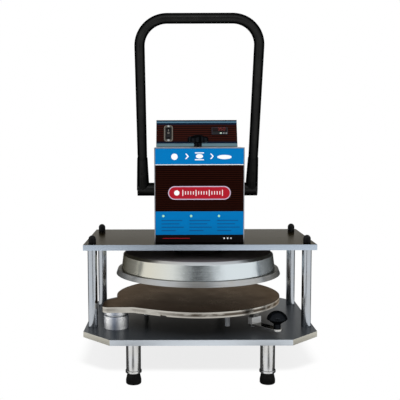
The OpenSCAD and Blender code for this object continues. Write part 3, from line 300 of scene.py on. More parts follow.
powderCoat = mouldedFinish({  # gloss powder coat: black with a soft orange peel, and painted shade darkening its outline
    "name": "black powder coat", "colour": "#242424", "dust": "#2e2e2d", "edge": "#080909", "ior": 1.5,
    "metal": 0.65, "graze": "#000000", "cloudMm": 40, "peelMm": 2.2, "rough": (0.2, 0.28),
    "peelDepth": 0.12, "shine": 0.0})
phenolic = mouldedFinish({  # pressed phenolic: deep glossy black
    "name": "black phenolic", "colour": "#16181b", "dust": "#1b1d20", "ior": 1.6, "metal": 0.75,
    "graze": "#000000", "cloudMm": 20, "peelMm": 3, "rough": (0.1, 0.16), "peelDepth": 0.04, "shine": 0.0})
capPlastic = mouldedFinish({  # moulded polyethylene caps: black, half gloss
    "name": "black polyethylene", "colour": "#0e0e0f", "dust": "#181818", "ior": 1.51,
    "cloudMm": 9, "peelMm": 1.2, "rough": (0.3, 0.42), "peelDepth": 0.08, "shine": 0.07})
casePlastic = mouldedFinish({  # moulded ABS: black, fine spark texture
    "name": "black ABS", "colour": "#111113", "dust": "#1a1a1b", "ior": 1.53,
    "cloudMm": 12, "peelMm": 0.6, "rough": (0.34, 0.46), "peelDepth": 0.2})
keyPlastic = mouldedFinish({  # light grey keys: matt silicone-like caps
    "name": "grey ABS", "colour": "#8f9293", "dust": "#828586", "ior": 1.53,
    "cloudMm": 4, "peelMm": 0.5, "rough": (0.42, 0.55), "peelDepth": 0.1})
mintPlastic = mouldedFinish({  # lit key: translucent cap with a pale green cast
    "name": "translucent ABS", "colour": "#cfe6d4", "dust": "#c2dcc9", "ior": 1.53,
    "cloudMm": 4, "peelMm": 0.5, "rough": (0.4, 0.5), "peelDepth": 0.1})
switchMetal = mouldedFinish({  # dark anodised switch plate: satin brown-grey
    "name": "dark anodised aluminium", "colour": "#423e39", "dust": "#57534c", "ior": 1.5,
    "cloudMm": 18, "peelMm": 0.8, "rough": (0.34, 0.46), "peelDepth": 0.1, "shine": 0.08})
blackRubber = mouldedFinish({  # moulded rubber: dull black, grey bloom
    "name": "black rubber", "colour": "#0a0a0a", "dust": "#141413", "ior": 1.52,
    "cloudMm": 16, "peelMm": 0.9, "rough": (0.42, 0.58), "peelDepth": 0.2, "shine": 0.05})
fibreBoard = mouldedFinish({  # pressed insulation board: pale, fibrous and matt
    "name": "ceramic fibre board", "colour": "#d8d2c2", "dust": "#c4bca8", "ior": 1.45,
    "cloudMm": 6, "peelMm": 1.5, "rough": (0.8, 0.95), "peelDepth": 0.4})
windowPlastic = mouldedFinish({  # smoked display window: near black and glossy
    "name": "smoked acrylic", "colour": "#120607", "dust": "#1a0a0b", "ior": 1.49,
    "cloudMm": 20, "peelMm": 6, "rough": (0.08, 0.14), "peelDepth": 0.02})


def platenFinish(spec):
    # non-stick coat baked on a turned plate: brown-black, darker at the rim, bare worn metal on the edge;
    # painted light makes the coat paler to the right, painted shade darkens the underside, and a painted
    # highlight brightens the lower corner
    finish, add, shader, coords = startFinish(spec["name"], {
        "Specular IOR Level": 0.0, "Specular Tint": spec["graze"]})
    reach = {key: [value * mm for value in spec[key]] for key in spec if key.endswith("Mm")}  # now in metres
    axes = add("SeparateXYZ", {0: coords})
    across = add("CombineXYZ", {0: axes.outputs["X"], 1: axes.outputs["Y"]})
    radius = add("VectorMath", {0: across}, operation="LENGTH")
    upward = add("SeparateXYZ", {0: add("NewGeometry").outputs["Normal"]}).outputs["Z"]
    cloud = add("TexNoise", {"Vector": coords, "Scale": perMm(55), "Detail": 5.0})
    spots = add("Mapping", {"Vector": coords, "Scale": perMm(38, 38, 14)})
    stain = add("TexNoise", {"Vector": spots, "Scale": 1.0, "Detail": 4.0})
    grain = add("Mapping", {"Vector": coords, "Scale": perMm(60, 60, 1.2)})
    lines = add("TexNoise", {"Vector": grain, "Scale": 1.0, "Detail": 3.0})

    coat = add("Mix", {0: cloud, 6: spec["coatDark"], 7: spec["coatLight"]}, data_type="RGBA")
    # painted light: the coat turns paler towards the right, where light falls on it
    start, end = reach["litSideMm"]
    litSide = add("MapRange", {"Value": axes.outputs["X"], "From Min": start, "From Max": end, "To Max": 0.65})
    coat = add("Mix", {0: litSide, 6: coat, 7: spec["coatLitSide"]}, data_type="RGBA")
    start, end = reach["rimMm"]
    rim = add("MapRange", {"Value": radius, "From Min": start, "From Max": end},
              interpolation_type="SMOOTHSTEP")
    fromEar = add("VectorMath", {0: across, 1: reach["earMm"]}, operation="DISTANCE")
    start, end = reach["clearMm"]
    clear = add("MapRange", {"Value": fromEar, "From Min": start, "From Max": end})
    rim = add("Math", {0: rim, 1: clear}, operation="MULTIPLY")  # no dark rim at the ear
    coat = add("Mix", {0: rim, 6: coat, 7: spec["coatRim"]}, data_type="RGBA")

    bare = add("Mix", {0: lines, 6: spec["edgeDark"], 7: spec["edgeLight"]}, data_type="RGBA")
    darkMarks = add("MapRange", {"Value": stain, "From Min": 0.36, "From Max": 0.52})
    start, end = reach["frontMm"]
    front = add("MapRange", {"Value": axes.outputs["X"], "From Min": start, "From Max": end, "To Min": 0.45})
    darkMarks = add("Math", {0: darkMarks, 1: front}, operation="MULTIPLY")
    offset = add("Math", {0: axes.outputs["Z"], 1: spec["middle"] * mm}, operation="SUBTRACT")
    offset = add("Math", {0: offset}, operation="ABSOLUTE")
    start, end = reach["stainMm"]
    middle = add("MapRange", {"Value": offset, "From Min": start, "From Max": end})
    darkMarks = add("Math", {0: darkMarks, 1: middle}, operation="MULTIPLY")  # darker along its middle, and more so towards the right
    bare = add("Mix", {0: darkMarks, 6: bare, 7: spec["stain"]}, data_type="RGBA")
    corner = add("MapRange", {"Value": upward, "From Min": -0.2, "From Max": -0.45})
    bright = add("MapRange", {"Value": stain, "From Min": 0.62, "From Max": 0.5})
    corner = add("Math", {0: corner, 1: bright}, operation="MULTIPLY")  # painted highlight: the lower corner drawn bright where its eased edge would catch the light, broken up by patches
    bare = add("Mix", {0: corner, 6: bare, 7: spec["corner"]}, data_type="RGBA")

    coated = add("MapRange", {"Value": upward, "From Min": 0.15, "From Max": 0.4})  # wraps the corner
    colour = add("Mix", {0: coated, 6: bare, 7: coat}, data_type="RGBA")
    # painted shade: faces that look down are drawn near black, as if in shadow
    below = add("MapRange", {"Value": upward, "From Min": -0.8, "From Max": -0.95})
    colour = add("Mix", {0: below, 6: colour, 7: spec["under"]}, data_type="RGBA")
    metal = add("MapRange", {"Value": coated, "To Min": 1.0, "To Max": 0.5})  # metal shows through
    metal = add("Math", {0: metal, 1: below}, operation="SUBTRACT")
    rough = add("MapRange", {
        "Value": cloud, "From Min": 0.3, "From Max": 0.7, "To Min": 0.24, "To Max": 0.36})
    bump = add("Bump", {"Height": cloud, "Strength": 0.08, "Distance": 0.2 * mm})
    setSockets(shader, {"Base Color": colour, "Metallic": metal, "Roughness": rough, "Normal": bump})
    return finish


platenCoat = platenFinish({  # matt brown-black top over a bright, stained edge
    "name": "baked non-stick coat", "graze": "#dccdbd", "under": "#0e0c0b",
    "coatDark": "#170d08", "coatLight": "#2b1e16", "coatLitSide": "#33281e", "coatRim": "#14100e",
    "edgeDark": "#a9a59c", "edgeLight": "#d6d3cb", "stain": "#5a5249", "corner": "#f4f2ec",
    "litSideMm": (-120, 220), "rimMm": (223, 229.5), "earMm": (-222, -137.5, 0), "clearMm": (90, 140),
    "frontMm": (-100, -20), "middle": 183.8, "stainMm": (4.6, 2.4)})  # middle: a height in mm


# Finishes: printed overlays and lit segments

def printFinish(name, spec):
    # screen-printed overlay film: even ink with a fine tooth, and pinstripes where the design has them
    finish, add, shader, coords = startFinish(name, {"IOR": 1.5, "Specular IOR Level": 0.02})
    tooth = add("TexNoise", {"Vector": coords, "Scale": perMm(0.8), "Detail": 2.0})
    shade = add("TexNoise", {"Vector": coords, "Scale": perMm(80), "Detail": 3.0})
    colour = add("Mix", {0: shade, 6: spec["ink"], 7: spec["shade"]}, data_type="RGBA")
    if "stripe" in spec:  # drawn coarser than real pinstripes so that they show
        height = add("SeparateXYZ", {0: coords}).outputs["Z"]
        turn = 2 * math.pi / (spec["pitchMm"] * mm)
        phase = add("Math", {0: height, 1: turn}, operation="MULTIPLY")
        wave = add("Math", {0: phase}, operation="SINE")
        line = add("MapRange", {"Value": wave, "From Min": 0.2, "From Max": 0.8})
        colour = add("Mix", {0: line, 6: colour, 7: spec["stripe"]}, data_type="RGBA")
    rough = add("MapRange", {
        "Value": shade, "From Min": 0.3, "From Max": 0.7, "To Min": 0.32, "To Max": 0.42})
    bump = add("Bump", {"Height": tooth, "Strength": 0.06, "Distance": 0.05 * mm})
    setSockets(shader, {"Base Color": colour, "Roughness": rough, "Normal": bump})
    return finish


inkColours = {  # each ink is even, with a faint drift from its colour to its shade
    "striped brown": {"ink": "#0a0201", "shade": "#0d0302", "stripe": "#290e07", "pitchMm": 5.6},
    "panel brown": {"ink": "#170908", "shade": "#1b0b0a", "stripe": "#3a160e", "pitchMm": 6.2},
    "blue": {"ink": "#0268a6", "shade": "#046cab"},
    "deep blue": {"ink": "#0b4a7e", "shade": "#0d5187"},
    "red": {"ink": "#a41a27", "shade": "#981b29"},
    "white": {"ink": "#e9ebee", "shade": "#dfe2e6"},
    "lilac": {"ink": "#bfaec4", "shade": "#b6a6bc"},
    "pale green": {"ink": "#9fd6b4", "shade": "#93ccaa"},
    "black": {"ink": "#0d0b0c", "shade": "#121011"},
    "slate blue": {"ink": "#4a6d82", "shade": "#527488"},
    "navy": {"ink": "#0a1626", "shade": "#0c1a2c"},
    "plum": {"ink": "#3c3642", "shade": "#443d4a"},
    "grey": {"ink": "#7a756b", "shade": "#86817a"},
    "grey teal": {"ink": "#597179", "shade": "#648089"},
}
inks = {key: printFinish("overlay film, " + key + " ink", spec) for key, spec in inkColours.items()}


def litFinish(name, colour, glow):
    # light emitting diode behind a diffuser: a glow that is slightly uneven
    finish, add, shader, coords = startFinish(name, {"Emission Strength": glow, "Roughness": 0.4})
    uneven = add("TexNoise", {"Vector": coords, "Scale": perMm(2.5)})
    tint = add("Mix", {0: uneven, 6: colour, 7: colour}, data_type="RGBA", blend_type="MULTIPLY")
    setSockets(shader, {"Base Color": tint, "Emission Color": tint})
    return finish


redGlow = litFinish("red display segment", "#8c1a16", 0.16)
print("stage: finishes made")


# Piece makers

easing = {"mergeMm": 0.01, "flatDeg": 0.4, "cornerDeg": 32, "rounds": 2, "sharpDeg": 38}  # for every piece
roundSteps = {"disc": 32, "corner": 8, "ring": 4}  # facets of printed shapes


def makeObject(name, shape, finish):
    mesh = bpy.data.meshes.new(name)
    shape.to_mesh(mesh)
    shape.free()
    mesh.materials.append(finish)
    made = bpy.data.objects.new(name, mesh)
    scene.collection.objects.link(made)
    return made


def finishPiece(name, shape, finish, body):
    piece = makeObject(name, shape, finish)
    piece.data.polygons.foreach_set("use_smooth", [True] * len(piece.data.polygons))
    piece.data.set_sharp_from_angle(angle=math.radians(easing["sharpDeg"]))
    level = piece.modifiers.new("flatFaces", "WEIGHTED_NORMAL")  # keeps broad faces flat beside eased edges
    level.keep_sharp = True
    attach(piece, body)
    return piece


def camelName(solid):
    first, *rest = solid.split("_")
    return first + "".join(word.capitalize() for word in rest)


def dress(solid, spec):
    # a merged copy of the solid with its edges eased, which stands for the solid
    source = nodes[solid]
    shape = bmesh.new()
    shape.from_mesh(source.data)
    bmesh.ops.remove_doubles(shape, verts=shape.verts, dist=easing["mergeMm"] * mm)
    bmesh.ops.dissolve_limit(shape, angle_limit=math.radians(easing["flatDeg"]), verts=shape.verts,
                             edges=shape.edges)
    if spec["easeMm"]:
        bend = math.radians(easing["cornerDeg"])
        corners = [edge for edge in shape.edges
                   if len(edge.link_faces) == 2 and edge.calc_face_angle(0) > bend]
        bmesh.ops.bevel(shape, geom=corners, offset=spec["easeMm"] * mm, segments=easing["rounds"],
                        profile=0.5, affect="EDGES", clamp_overlap=True, material=-1)
    piece = finishPiece(camelName(solid), shape, spec["finish"], source["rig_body"])
    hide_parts(solid)


def layerPlace(centre, layer):
    return Matrix.Translation((centre[0] * mm, centre[1] * mm, sum(layer) / 2 * mm))


def addBar(shape, centre, size, layer, corner=0):
    # flat bar on a face, sizes in millimetres, from the layer's low side to its high side
    spread = Matrix.Diagonal((size[0] * mm, size[1] * mm, (layer[1] - layer[0]) * mm, 1))
    made = bmesh.ops.create_cube(shape, size=1.0, matrix=layerPlace(centre, layer) @ spread)
    if corner:
        upright = [edge for edge in {e for v in made["verts"] for e in v.link_edges}
                   if abs((edge.verts[0].co - edge.verts[1].co).normalized().z) > 0.9]
        bmesh.ops.bevel(shape, geom=upright, offset=corner * mm, segments=roundSteps["corner"], profile=0.5,
                        affect="EDGES", clamp_overlap=True, material=-1)


def addBand(shape, span, width, layer):
    addBar(shape, (0, sum(span) / 2), (width, span[1] - span[0]), layer)  # right across, between two heights


def addDisc(shape, centre, radius, layer, stretch=1.0):
    bmesh.ops.create_cone(shape, cap_ends=True, segments=roundSteps["disc"], radius1=radius * mm,
                          radius2=radius * mm, depth=(layer[1] - layer[0]) * mm,
                          matrix=layerPlace(centre, layer) @ Matrix.Diagonal((1, stretch, 1, 1)))


def raiseFaces(shape, faces, layer):
    grown = bmesh.ops.extrude_face_region(shape, geom=faces)["geom"]
    lifted = [item for item in grown if isinstance(item, bmesh.types.BMVert)]
    bmesh.ops.translate(shape, verts=lifted, vec=(0, 0, (layer[1] - layer[0]) * mm))


def addOutline(shape, points, layer):
    face = shape.faces.new([shape.verts.new((x * mm, y * mm, layer[0] * mm)) for x, y in points])
    raiseFaces(shape, [face], layer)


def addRing(shape, centre, size, corner, line, layer):
    # flat outline of a rounded rectangle
    quarter = roundSteps["ring"]
    loops = [[], []]
    for turn, (side, rise) in enumerate(((1, 1), (-1, 1), (-1, -1), (1, -1))):
        x = centre[0] + side * (size[0] / 2 - corner)
        y = centre[1] + rise * (size[1] / 2 - corner)
        for step in range(quarter + 1):
            angle = (turn + step / quarter) * math.pi / 2
            for loop, bend in zip(loops, (corner, corner - line)):
                spot = (x + bend * math.cos(angle), y + bend * math.sin(angle), layer[0])
                loop.append(shape.verts.new([value * mm for value in spot]))
    outer, inner = loops
    faces = [shape.faces.new((outer[i - 1], outer[i], inner[i], inner[i - 1])) for i in range(len(outer))]
    raiseFaces(shape, faces, layer)


def printPiece(name, shape, finish, place, body="frame"):
    bmesh.ops.transform(shape, matrix=place, verts=shape.verts)
    bmesh.ops.recalc_face_normals(shape, faces=shape.faces)
    finishPiece(name, shape, finish, body)


def facePlace(origin, right, up):
    out = Vector(right).cross(Vector(up))
    place = Matrix((right, up, out)).transposed().to_4x4()
    place.translation = origin
    return place


# Finishes with their slots, where several solids share them

zinc = {"finish": zincSteel, "slot": "zinc_steel"}
bronze = {"finish": bearingBronze, "slot": "bearing_bronze"}
sheet = {"finish": brushedSheet, "slot": "housing_steel"}
satin = {"finish": satinTube, "slot": "satin_steel"}
moulded = {"finish": casePlastic, "slot": "black_plastic"}


# Frame of the press

framePieces = {
    "base_plate": {"easeMm": 0.7, "finish": basePlateFinish, "slot": "plate_aluminium"},
    "top_plate": {"easeMm": 0.7, "finish": topPlateFinish, "slot": "plate_aluminium"},
    "pillars": {"easeMm": 0.8, "finish": drawnSteel, "slot": "polished_steel"},
    "cap_nuts": {"easeMm": 0.5, "finish": capPlastic, "slot": "black_phenolic"},
    "base_bolts": {"easeMm": 0.4, **zinc},
    "leg_tubes": {"easeMm": 0.5, **satin},
    "leg_studs": {"easeMm": 0.3, **zinc},
    "foot_rings": {"easeMm": 0.6, **satin},
    "rubber_feet": {"easeMm": 0.8, "finish": blackRubber, "slot": "black_rubber"},
    "support_posts": {"easeMm": 0.4, "finish": postSteel, "slot": "satin_steel"},
    "pivot_base": {"easeMm": 0.8, "finish": turnedSteel, "slot": "polished_steel"},
    "pivot_spindle": {"easeMm": 0.4, **zinc},
    "thrust_washer": {"easeMm": 0.3, **zinc},
}
for solid, spec in framePieces.items():
    dress(solid, spec)
print("stage: frame dressed")


# Swinging lower platen

swingPieces = {
    "lower_platen": {"easeMm": 1.2, "finish": platenCoat, "slot": "coated_aluminium"},
    "pivot_collar": {"easeMm": 0.5, "finish": turnedSteel, "slot": "polished_steel"},
    "platen_arm": {"easeMm": 0.5, "finish": barAluminium, "slot": "cast_aluminium"},
    "arm_spacer": {"easeMm": 0.5, "finish": spacerAluminium, "slot": "cast_aluminium"},
    "arm_screws": {"easeMm": 0.3, **zinc},
    "arm_knob": {"easeMm": 0.8, "finish": phenolic, "slot": "black_phenolic"},
}
for solid, spec in swingPieces.items():
    dress(solid, spec)
print("stage: lower platen dressed")


# Ram with the heated upper platen

ramPieces = {
    "ram": {"easeMm": 0.5, "finish": groundSteel, "slot": "ground_steel"},
    "ram_yoke": {"easeMm": 0.5, **zinc},
    "yoke_screws": {"easeMm": 0.3, **zinc},
    "platen_mount": {"easeMm": 0.6, "finish": shadeDarkCasting, "slot": "cast_aluminium"},
    "platen_bolts": {"easeMm": 0.3, **zinc},
    "platen_cover": {"easeMm": 0.6, "finish": spunSteel, "slot": "polished_steel"},
    "insulation_disc": {"easeMm": 0, "finish": fibreBoard, "slot": "insulation_board"},
    "heater_disc": {"easeMm": 0, "finish": machinedAluminium, "slot": "cast_aluminium"},
    "upper_platen": {"easeMm": 0.7, "finish": machinedAluminium, "slot": "cast_aluminium"},
}
for solid, spec in ramPieces.items():
    dress(solid, spec)
print("stage: ram dressed")


# Housing, handle, thickness stop and console

housingPieces = {
    "mechanism_housing": {"easeMm": 0.9, **sheet},
    "face_plate": {"easeMm": 0.2, "finish": inks["striped brown"], "slot": "printed_face"},
    "rear_cover": {"easeMm": 0.5, **sheet},
    "rear_cover_screws": {"easeMm": 0.2, **zinc},
    "cable_gland": {"easeMm": 0.4, **moulded},
    "bearing_plates": {"easeMm": 0.5, **zinc},
    "bearing_bolts": {"easeMm": 0.3, **zinc},
    "shaft_bushes": {"easeMm": 0.3, **bronze},
    "ram_guide": {"easeMm": 0.4, **bronze},
    "spring_rods": {"easeMm": 0.3, **zinc},
    "screw_bush": {"easeMm": 0.3, **bronze},
    "handle_tube": {"easeMm": 0.4, "finish": powderCoat, "slot": "black_powder_coat"},
    "handle_hubs": {"easeMm": 0.8, "finish": powderCoat, "slot": "black_powder_coat"},
    "hub_set_screws": {"easeMm": 0.2, "finish": powderCoat, "slot": "zinc_steel"},
    "cross_shaft": {"easeMm": 0.6, **satin},
    "drive_pinion": {"easeMm": 0.3, **zinc},
    "thickness_knob": {"easeMm": 0.8, "finish": phenolic, "slot": "black_phenolic"},
    "lead_screw": {"easeMm": 0.3, **satin},
    "stop_nut": {"easeMm": 0.3, **bronze},
    "control_console": {"easeMm": 0.9, **sheet},
    "control_panel": {"easeMm": 0.3, "finish": inks["panel brown"], "slot": "printed_face"},
    "switch_plate": {"easeMm": 0.3, "finish": switchMetal, "slot": "housing_steel"},
    "switch_screws": {"easeMm": 0.2, **zinc},
    "switch_body": {"easeMm": 0.3, **moulded},
    "rocker": {"easeMm": 0.4, **moulded},
    "controller_case": {"easeMm": 0.4, **moulded},
    "controller_window": {"easeMm": 0.1, "finish": windowPlastic, "slot": "display_window"},
    "set_key": {"easeMm": 0.3, "finish": mintPlastic, "slot": "grey_plastic"},
    "down_key": {"easeMm": 0.3, "finish": keyPlastic, "slot": "grey_plastic"},
    "up_key": {"easeMm": 0.3, "finish": keyPlastic, "slot": "grey_plastic"},
}
for solid, spec in housingPieces.items():
    dress(solid, spec)
print("stage: housing dressed")


# Return springs, wound as two coils on the frame at one length

coil = {"wireMm": 2.6, "turns": 26, "steps": 18, "sides": 8}
springLow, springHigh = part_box("return_springs")
coilRadius, wire = (springHigh.y - springLow.y) / 2, coil["wireMm"] * mm
coilSteps = coil["turns"] * coil["steps"]
climb = (springHigh.z - springLow.z - wire) / coilSteps
shape = bmesh.new()
for side in (-1, 1):
    foot = Vector((side * (springHigh.x - coilRadius), (springLow.y + springHigh.y) / 2, springLow.z))
    start = Matrix.Translation(foot + Vector((coilRadius - wire / 2, 0, wire / 2)))
    ring = bmesh.ops.create_circle(shape, segments=coil["sides"], radius=wire / 2,
                                   matrix=start @ Matrix.Rotation(math.pi / 2, 4, "X"))["verts"]
    loop = list({edge for vert in ring for edge in vert.link_edges})
    bmesh.ops.spin(shape, geom=ring + loop, cent=foot, axis=(0, 0, 1), dvec=(0, 0, climb),
                   angle=2 * math.pi * coil["turns"], steps=coilSteps)
ends = [edge for edge in shape.edges if edge.is_boundary]
bmesh.ops.holes_fill(shape, edges=ends, sides=coil["sides"])
bmesh.ops.recalc_face_normals(shape, faces=shape.faces)
springs = finishPiece("returnSprings", shape, springSteel, "frame")
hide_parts("return_springs")
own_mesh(springs)
print("stage: springs wound")


# Front label: plain bands, a rule, a red capsule and step marks

faceLow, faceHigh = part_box("face_plate")
faceWidth = (faceHigh.x - faceLow.x) / mm
faceHeight = (faceHigh.z - faceLow.z) / mm
labelPlace = facePlace(((faceLow.x + faceHigh.x) / 2, faceLow.y, faceLow.z), (1, 0, 0), (0, 0, 1))
film = 0.12  # thickness of one printed layer, in millimetres
layers = [(count * film, (count + 1) * film) for count in range(3)]  # three lie on each other at most

label = {"topBand": (208.1, faceHeight), "rule": (205.7, 207.5), "lowBand": (20.3, 82.7), "foot": (0.0, 19.3)}
shape = bmesh.new()
addBand(shape, label["topBand"], faceWidth, layers[0])
addBand(shape, label["lowBand"], faceWidth, layers[0])
printPiece("labelBlueBands", shape, inks["blue"], labelPlace)
shape = bmesh.new()
addBand(shape, label["foot"], faceWidth, layers[0])
printPiece("labelFoot", shape, inks["black"], labelPlace)

capsule = {"at": (0, 132), "size": (166, 36), "border": 2.4, "round": 0.499}  # round: share of the height
footMarks = {"barAt": (-62, 10.9), "bar": (72, 1.4), "dotAt": (66, 10.9), "dots": 3, "dotGap": 9, "dot": 2.2}
shape = bmesh.new()
addBar(shape, capsule["at"], capsule["size"], layers[0], corner=capsule["size"][1] * capsule["round"])
printPiece("labelCapsuleBorder", shape, inks["lilac"], labelPlace)
shape = bmesh.new()
inside = [side - 2 * capsule["border"] for side in capsule["size"]]
addBar(shape, capsule["at"], inside, layers[1], corner=inside[1] * capsule["round"])
addBar(shape, footMarks["barAt"], footMarks["bar"], layers[1])
printPiece("labelRed", shape, inks["red"], labelPlace)

marks = {"gap": 33, "ball": 8.5, "ballDrop": 1, "plate": (24, 2.6), "plateLift": 9, "plateCorner": 1,
         "pressed": 9.5, "pressedShare": 0.62, "base": 19, "baseShare": 0.3, "baseDrop": 2}
chevron = {"half": 5, "tall": 7, "notch": 1}
heatScale = {"bulbX": -60, "bulb": 7, "startX": -44, "pitch": 7, "ticks": 16, "every": 5, "line": 1.9,
             "long": 16, "short": 9}
bandY = sum(label["topBand"]) / 2
shape = bmesh.new()
addBand(shape, label["rule"], faceWidth, layers[0])
addDisc(shape, (-2 * marks["gap"], bandY - marks["ballDrop"]), marks["ball"], layers[1])  # dough ball
half, tall, notch = chevron["half"], chevron["tall"], chevron["notch"]
for x in (-marks["gap"], marks["gap"]):  # chevrons between the steps
    addOutline(shape, [(x - half, bandY + tall), (x - notch, bandY + tall), (x + half, bandY),
                       (x - notch, bandY - tall), (x - half, bandY - tall), (x + notch, bandY)], layers[1])
for lift in (-marks["plateLift"], marks["plateLift"]):  # ball between two plates
    addBar(shape, (0, bandY + lift), marks["plate"], layers[1], corner=marks["plateCorner"])
addDisc(shape, (0, bandY), marks["pressed"], layers[1], stretch=marks["pressedShare"])
addDisc(shape, (2 * marks["gap"], bandY - marks["baseDrop"]), marks["base"], layers[1],
        stretch=marks["baseShare"])  # flat base
scaleY = capsule["at"][1]
addDisc(shape, (heatScale["bulbX"], scaleY), heatScale["bulb"], layers[2])  # heat scale on the capsule
for step in range(heatScale["ticks"]):
    tick = heatScale["short"] if step % heatScale["every"] else heatScale["long"]
    x = heatScale["startX"] + heatScale["pitch"] * step
    addBar(shape, (x, scaleY), (heatScale["line"], tick), layers[2])
for column in range(footMarks["dots"]):
    x = footMarks["dotAt"][0] + footMarks["dotGap"] * column
    addDisc(shape, (x, footMarks["dotAt"][1]), footMarks["dot"], layers[1])
printPiece("labelWhite", shape, inks["white"], labelPlace)

notes = {"left": (-101, -27, 47), "top": 58.5, "rows": (56, 48, 60, 38), "rowGap": 9, "line": 2.6,
         "dotIn": 5, "dotUp": 12, "dot": 3.2}
shape = bmesh.new()
for left in notes["left"]:
    addDisc(shape, (left + notes["dotIn"], notes["top"] + notes["dotUp"]), notes["dot"], layers[1])
printPiece("labelGreen", shape, inks["pale green"], labelPlace)
shape = bmesh.new()
for left in notes["left"]:
    for row, length in enumerate(notes["rows"]):
        y = notes["top"] - notes["rowGap"] * row
        addBar(shape, (left + length / 2, y), (length, notes["line"]), layers[1])
printPiece("labelDeepBlue", shape, inks["deep blue"], labelPlace)
print("stage: label printed")


# Control panel: strips, switch marks and lit figures

panel = {"foot": 100, "lean": (0.427358, 0.904083), "skin": 2.0, "stripWidth": 238, "topStrip": (77.2, 82.2),
         "footStrip": (0.3, 10.1), "rules": ((70.6, 77.2), (82.2, 86.2), (10.1, 15.5))}
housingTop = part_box("mechanism_housing")[1].z
panelPlace = facePlace((0, panel["foot"] * mm, housingTop), (1, 0, 0), (0, *panel["lean"]))
panelPlace.translation += panelPlace.to_3x3() @ Vector((0, 0, panel["skin"] * mm))
shape = bmesh.new()
addBand(shape, panel["topStrip"], panel["stripWidth"], layers[0])
printPiece("panelTopStrip", shape, inks["slate blue"], panelPlace)
shape = bmesh.new()
addBand(shape, panel["footStrip"], panel["stripWidth"], layers[0])
printPiece("panelFootStrip", shape, inks["grey teal"], panelPlace)
shape = bmesh.new()
for span in panel["rules"]:  # dark rules beside the strips
    addBand(shape, span, panel["stripWidth"], layers[0])
printPiece("panelRules", shape, inks["navy"], panelPlace)

switch = {"at": (-83.5, 42.5), "plate": (27, 53), "corner": 8, "inset": 1.2, "line": 1.2, "proud": 1.2}
rocker = {"pivot": -0.1, "top": 2.5, "tilt": 8, "strokeAt": (0, 10.0), "stroke": (1.6, 5.6),
          "ringAt": (0, 1.0), "ring": (6, 6), "ringCorner": 3, "ringLine": 1.4}
shape = bmesh.new()
addRing(shape, switch["at"], [side - 2 * switch["inset"] for side in switch["plate"]],
        switch["corner"] - switch["inset"], switch["line"], (switch["proud"], switch["proud"] + film))
printPiece("switchBorder", shape, inks["grey"], panelPlace)
pivot = Matrix.Translation([value * mm for value in (*switch["at"], rocker["pivot"])])
rockerPlace = panelPlace @ pivot @ Matrix.Rotation(-math.radians(rocker["tilt"]), 4, "X")
rockerLayer = (rocker["top"], rocker["top"] + film)
shape = bmesh.new()
addBar(shape, rocker["strokeAt"], rocker["stroke"], rockerLayer)  # on stroke and off ring
addRing(shape, rocker["ringAt"], rocker["ring"], rocker["ringCorner"], rocker["ringLine"], rockerLayer)
printPiece("rockerMarks", shape, inks["grey"], rockerPlace, body="switch_rocker")

controller = {"at": (68, 48.5), "bezel": (48, 24), "inset": 1.1, "corner": 1.2, "line": 0.7, "proud": 5.0}
shape = bmesh.new()
addRing(shape, controller["at"], [side - 2 * controller["inset"] for side in controller["bezel"]],
        controller["corner"], controller["line"], (controller["proud"], controller["proud"] + film))
printPiece("controllerOutline", shape, inks["plum"], panelPlace)

digits = {"figures": "350", "firstX": 65.0, "y": 54.7, "tall": 8.6, "wide": 5.0, "pitch": 8.0, "bar": 1.0,
          "layer": (5.05, 5.15)}
lying = (digits["wide"] - digits["bar"], digits["bar"])
standing = (digits["bar"], digits["tall"] / 2 - digits["bar"])
segments = {"a": (0, 1, lying), "b": (1, 0.5, standing), "c": (1, -0.5, standing), "d": (0, -1, lying),
            "e": (-1, -0.5, standing), "f": (-1, 0.5, standing), "g": (0, 0, lying)}  # side, height, size
shown = {"0": "abcdef", "3": "abcdg", "5": "acdfg"}
shape = bmesh.new()
for column, figure in enumerate(digits["figures"]):
    for key in shown[figure]:
        side, lift, size = segments[key]
        x = digits["firstX"] + column * digits["pitch"] + side * digits["wide"] / 2
        addBar(shape, (x, digits["y"] + lift * digits["tall"] / 2), size, digits["layer"])
printPiece("displayFigures", shape, redGlow, panelPlace)
print("stage: panel printed")


# Stage: floor and surroundings

def addSheet(name, half, finish):
    shape = bmesh.new()
    bmesh.ops.create_grid(shape, x_segments=1, y_segments=1, size=half)
    return makeObject(name, shape, finish)


def seenShare(add):
    # 1 where the eye or a mirror looks, 0 where light only lands
    path = add("LightPath")
    seen = path.outputs["Is Camera Ray"]
    for ray in ("Is Glossy Ray", "Is Transmission Ray"):
        seen = add("Math", {0: seen, 1: path.outputs[ray]}, operation="MAXIMUM")
    return seen


sweep = {"half": 6.0, "colour": "#fcfcfc", "veil": 0.81, "slant": 1.1, "frontM": (-0.12, -0.075),
         "backM": (0.6, 0.45), "sideM": (0.36, 0.31), "slantM": (0.39, 0.34)}  # spans edge the press's shadow
sweepFinish, add, shader, coords = startFinish("matt white sweep", {
    "Base Color": sweep["colour"], "Roughness": 0.9, "Specular IOR Level": 0.0})
spot = add("SeparateXYZ", {0: coords})
aside = add("Math", {0: spot.outputs["X"]}, operation="ABSOLUTE")
slant = add("Math", {0: spot.outputs["Y"], 1: -sweep["slant"], 2: aside}, operation="MULTIPLY_ADD")
zone = 1.0
edges = {"frontM": spot.outputs["Y"], "backM": spot.outputs["Y"], "sideM": aside, "slantM": slant}
for key, value in edges.items():
    inside = add("MapRange", {"Value": value, "From Min": sweep[key][0], "From Max": sweep[key][1]},
                 interpolation_type="SMOOTHSTEP")
    zone = add("Math", {0: inside, 1: zone}, operation="MULTIPLY")
fade = add("MapRange", {"Value": zone, "To Min": 1.0, "To Max": sweep["veil"]})
fade = add("Math", {0: fade, 1: seenShare(add)}, operation="MULTIPLY")
white = add("Emission", {"Color": "#ffffff", "Strength": 1.0})
blend = add("MixShader", {0: fade, 1: shader, 2: white})
setSockets(sweepFinish.node_tree.nodes["Material Output"], {"Surface": blend})
floor = addSheet("floor", sweep["half"], sweepFinish)

